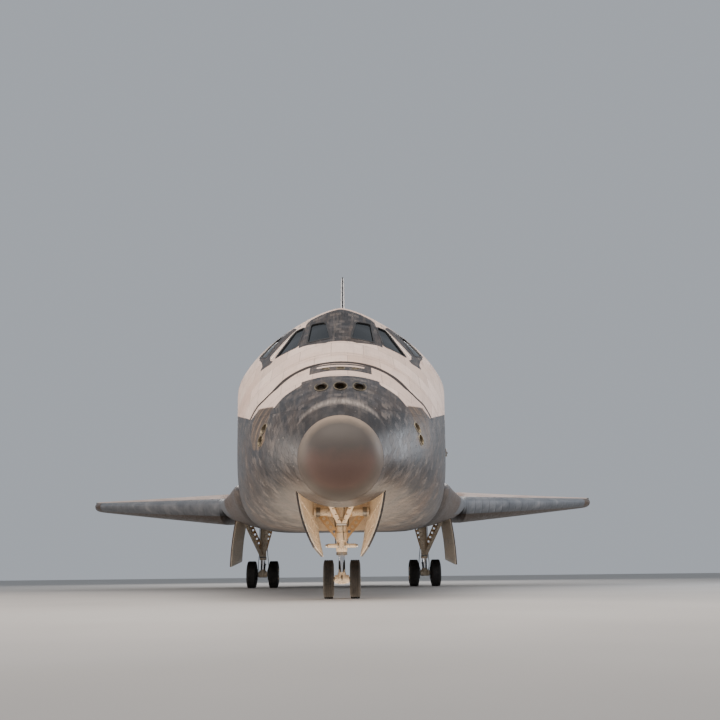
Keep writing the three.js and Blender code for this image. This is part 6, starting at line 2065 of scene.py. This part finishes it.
def door_ribs(door, depth, count, height):
    """Ribs that cross a gear door's inner face, and three that run along it."""
    hinge, edge, _ = door
    ribs = []
    for share in np.linspace(0.05, 0.95, count):
        rows = []
        for part in (share - 0.008, share + 0.008):
            line, inward = door_line(*door, part, np.linspace(0.1, 0.94, 14)[:, None])
            rows.append(np.concatenate([line + inward * (depth - 0.004),
                                        (line + inward * (depth + height))[::-1]]))
        ribs.append(skinned(rows, "strip"))
    for t in (0.14, 0.5, 0.9):
        rows = []
        for share in np.linspace(0.03, 0.97, 24):
            middle, inward = door_line(*door, share, t)
            across = unit(mix(edge[0], edge[1], share) - mix(hinge[0], hinge[1], share)) * 0.016
            foot, top = inward * (depth - 0.004), inward * (depth + height * 0.8)
            rows.append([middle - across + foot, middle + across + foot, middle + across + top,
                         middle - across + top])
        ribs.append(skinned(rows))
    return ribs


def make_gear_doors():
    """Each gear door is a tiled plate, a thin sheet inside it and ribs on the sheet."""
    nose_hinge = np.array([[well_half(1.08) - 0.0003, 1.08, -2.17], [well_half(3.87) - 0.0003, 3.87, -2.88]])
    nose_edge = np.array([[0.53, 1.08, -3.25], [0.45, 3.87, -3.554]])
    door = (nose_hinge, nose_edge, (0.06, 0.015))
    shapes = [(door_plate(door, 0.0, 0.04), TILES), (door_plate(door, 0.0405, 0.052), CREAM)]
    shapes += [(rib, CREAM) for rib in door_ribs(door, 0.052, 9, 0.012)]
    pair("nose_door", framed(shapes), replaces=["nose_gear_door"])
    main_hinge = np.array([[4.262, 20.42, -2.80], [4.262, 24.28, -2.90]])
    main_edge = np.array([[4.47, 20.42, -4.68], [4.47, 24.28, -4.68]])
    door = (main_hinge, main_edge, (0.04, 0.04))
    shapes = [(door_plate(door, 0.0, 0.05), TILES), (door_plate(door, 0.0505, 0.064), CREAM)]
    shapes += [(rib, CREAM) for rib in door_ribs(door, 0.064, 11, 0.016)]
    pair("main_door", framed(shapes), replaces=["main_gear_door"])


def make_well_fittings():
    """Ribs, stringers, pipes and boxes on the walls and roof of the wheel wells."""
    shapes = []
    for aft in np.linspace(1.17, 3.78, 11):
        half = well_half(aft)
        for sign in (1, -1):
            shapes.append((block((sign * half, aft - 0.018, -2.14),
                                 (sign * (half - 0.045), aft + 0.018, -1.76), 0.006, 2), CREAM))
        shapes.append((block((-half + 0.02, aft - 0.02, -1.75), (half - 0.02, aft + 0.02, -1.80), 0.006, 2),
                       CREAM))
    for x in (-0.42, -0.14, 0.14, 0.42):
        shapes.append((block((x - 0.02, 1.07, -1.75), (x + 0.02, 3.88, -1.785), 0.006, 2), CREAM))
    for x, radius, look in ((-0.49, 0.02, GOLD), (0.49, 0.02, GOLD), (0.3, 0.013, STEEL), (-0.28, 0.013, HOSE),
                            (0.22, 0.01, HOSE)):
        path = [(x + 0.02 * math.sin(3 * aft), aft, -1.83) for aft in spread(1.15, 3.8, 0.1)]
        shapes.append((tube(path, radius, 10), look))
    for x, aft in ((-0.3, 1.6), (0.28, 1.75), (0.0, 2.0)):
        shapes.append((block((x - 0.1, aft - 0.12, -1.78), (x + 0.1, aft + 0.12, -1.93), 0.02), CREAM))
    shapes.append((block((-0.83, 1.05, -2.22), (0.83, 1.11, -2.12), 0.008, 2), CREAM))
    shapes.append((block((-0.54, 3.84, -2.4), (0.54, 3.9, -2.3), 0.008, 2), CREAM))
    piece("nose_well_fittings", framed(shapes))
    shapes = []
    for aft in np.linspace(20.5, 24.2, 11):
        shapes.append((block((2.92, aft - 0.025, -2.33), (4.21, aft + 0.025, -2.42), 0.008, 2), CREAM))
        shapes.append((block((2.9, aft - 0.02, -3.0), (2.95, aft + 0.02, -2.35), 0.006, 2), CREAM))
        shapes.append((block((4.23, aft - 0.02, -3.0), (4.18, aft + 0.02, -2.35), 0.006, 2), CREAM))
    for x in (3.15, 3.4, 3.72, 4.0):
        shapes.append((block((x - 0.02, 20.42, -2.33), (x + 0.02, 24.28, -2.385), 0.008, 2), CREAM))
    for x, radius, look in ((3.05, 0.022, GOLD), (3.28, 0.016, STEEL), (3.9, 0.02, GOLD), (4.1, 0.014, HOSE)):
        path = [(x + 0.03 * math.sin(2.2 * aft), aft, -2.46) for aft in spread(20.5, 24.2, 0.12)]
        shapes.append((tube(path, radius, 10), look))
    pair("main_well_fittings", framed(shapes))


# Building everything

def make_craft():
    """Builds every piece in turn."""
    make_nose_cap()
    bezels = make_nose()
    bezels += make_module()
    make_bezels(bezels)
    make_cabin()
    make_hatch()
    make_cabin_inside()
    make_bay()
    make_doors()
    make_aft()
    make_flap()
    make_wings()
    make_leading_edges()
    make_elevons()
    make_fin()
    make_rudder()
    for engine in MAIN_ENGINES:
        make_engine(*engine)
    make_pods()
    make_pod_bells()
    make_nose_gear()
    make_main_gear()
    make_gear_doors()
    make_well_fittings()


def finish_deck():
    """Paints the CAD model's cabin floor, which no piece replaces."""
    deck = frame["nodes"]["flight_deck"]
    deck.data.materials.clear()
    deck.data.materials.append(CABIN_GREY)


# Floor, light and camera

def make_floor():
    """A wide even floor, grey with a very faint cloud."""
    size = 400.0
    mesh = bpy.data.meshes.new("studio_floor")
    mesh.from_pydata([(-size, -size, 0), (size, -size, 0), (size, size, 0), (-size, size, 0)], [],
                     [(0, 1, 2, 3)])
    floor = bpy.data.objects.new("studio_floor", mesh)
    bpy.context.scene.collection.objects.link(floor)
    f = Finish("studio_floor", Specular_IOR_Level=0.3)
    cloud = f.noise(f.place(), 0.25, 3.0, 0.5)
    mesh.materials.append(f.done(f.ramp(cloud, (0.3, colour(172, 169, 166)), (0.7, colour(180, 177, 174))),
                                 0.75))


def make_light(name, place, target, size, power, tint):
    """A rectangle of light that faces its target and isn't seen itself."""
    lamp = bpy.data.lights.new(name, "AREA")
    lamp.shape = "RECTANGLE"
    lamp.size, lamp.size_y = size
    lamp.energy = power
    lamp.color = tint
    made = bpy.data.objects.new(name, lamp)
    made.location = place
    made.rotation_euler = (Vector(target) - Vector(place)).to_track_quat("-Z", "Y").to_euler()
    made.visible_camera = False
    bpy.context.scene.collection.objects.link(made)


def make_studio():
    """A soft bluish surround, four large lights about the craft and a warm glow up from the floor."""
    world = bpy.data.worlds.new("soft_light")
    bpy.context.scene.world = world
    world.use_nodes = True
    back = world.node_tree.nodes["Background"]
    back.inputs[0].default_value = (0.66, 0.71, 0.78, 1)
    back.inputs[1].default_value = 0.62
    make_light("ceiling_front", (0, -24, 15), (0, -14, 3), (22, 12), 4300, (1.0, 0.90, 0.80))
    make_light("left_side", (-24, -14, 8), (0, -10, 3), (14, 12), 3600, (1.0, 0.88, 0.78))
    make_light("right_side", (24, -6, 10), (0, -4, 3), (18, 12), 3600, (0.90, 0.94, 1.0))
    make_light("behind", (0, 34, 18), (0, 14, 4), (26, 14), 5200, (1.0, 0.96, 0.92))
    make_light("floor_glow", (0, -15.5, 0.03), (0, -15.5, 5), (9, 6), 420, (1.0, 0.80, 0.60))


PICTURE_WIDTH = 720.0
FOCAL_LENGTH = 919.2
SENSOR_WIDTH = 36.0
CAMERA_PLACE = (0.086, -34.626, 0.466)
CAMERA_PITCH = 13.206
CAMERA_YAW = -0.992
CAMERA_ROLL = -0.617


def make_camera():
    """The photo's camera; its focal length was measured in pixels of the picture, its turns in degrees."""
    data = bpy.data.cameras.new("camera")
    data.sensor_fit = "HORIZONTAL"
    data.sensor_width = SENSOR_WIDTH
    data.lens = FOCAL_LENGTH / PICTURE_WIDTH * SENSOR_WIDTH
    data.clip_end = 1000.0
    camera = bpy.data.objects.new("camera", data)
    pitch, yaw, roll = math.radians(CAMERA_PITCH), math.radians(CAMERA_YAW), math.radians(CAMERA_ROLL)
    camera.matrix_world = (Matrix.Translation(CAMERA_PLACE) @ Matrix.Rotation(yaw, 4, "Z")
                           @ Matrix.Rotation(math.radians(90) + pitch, 4, "X") @ Matrix.Rotation(roll, 4, "Z"))
    bpy.context.scene.collection.objects.link(camera)
    bpy.context.scene.camera = camera


make_craft()
finish_deck()
make_floor()
make_studio()
make_camera()
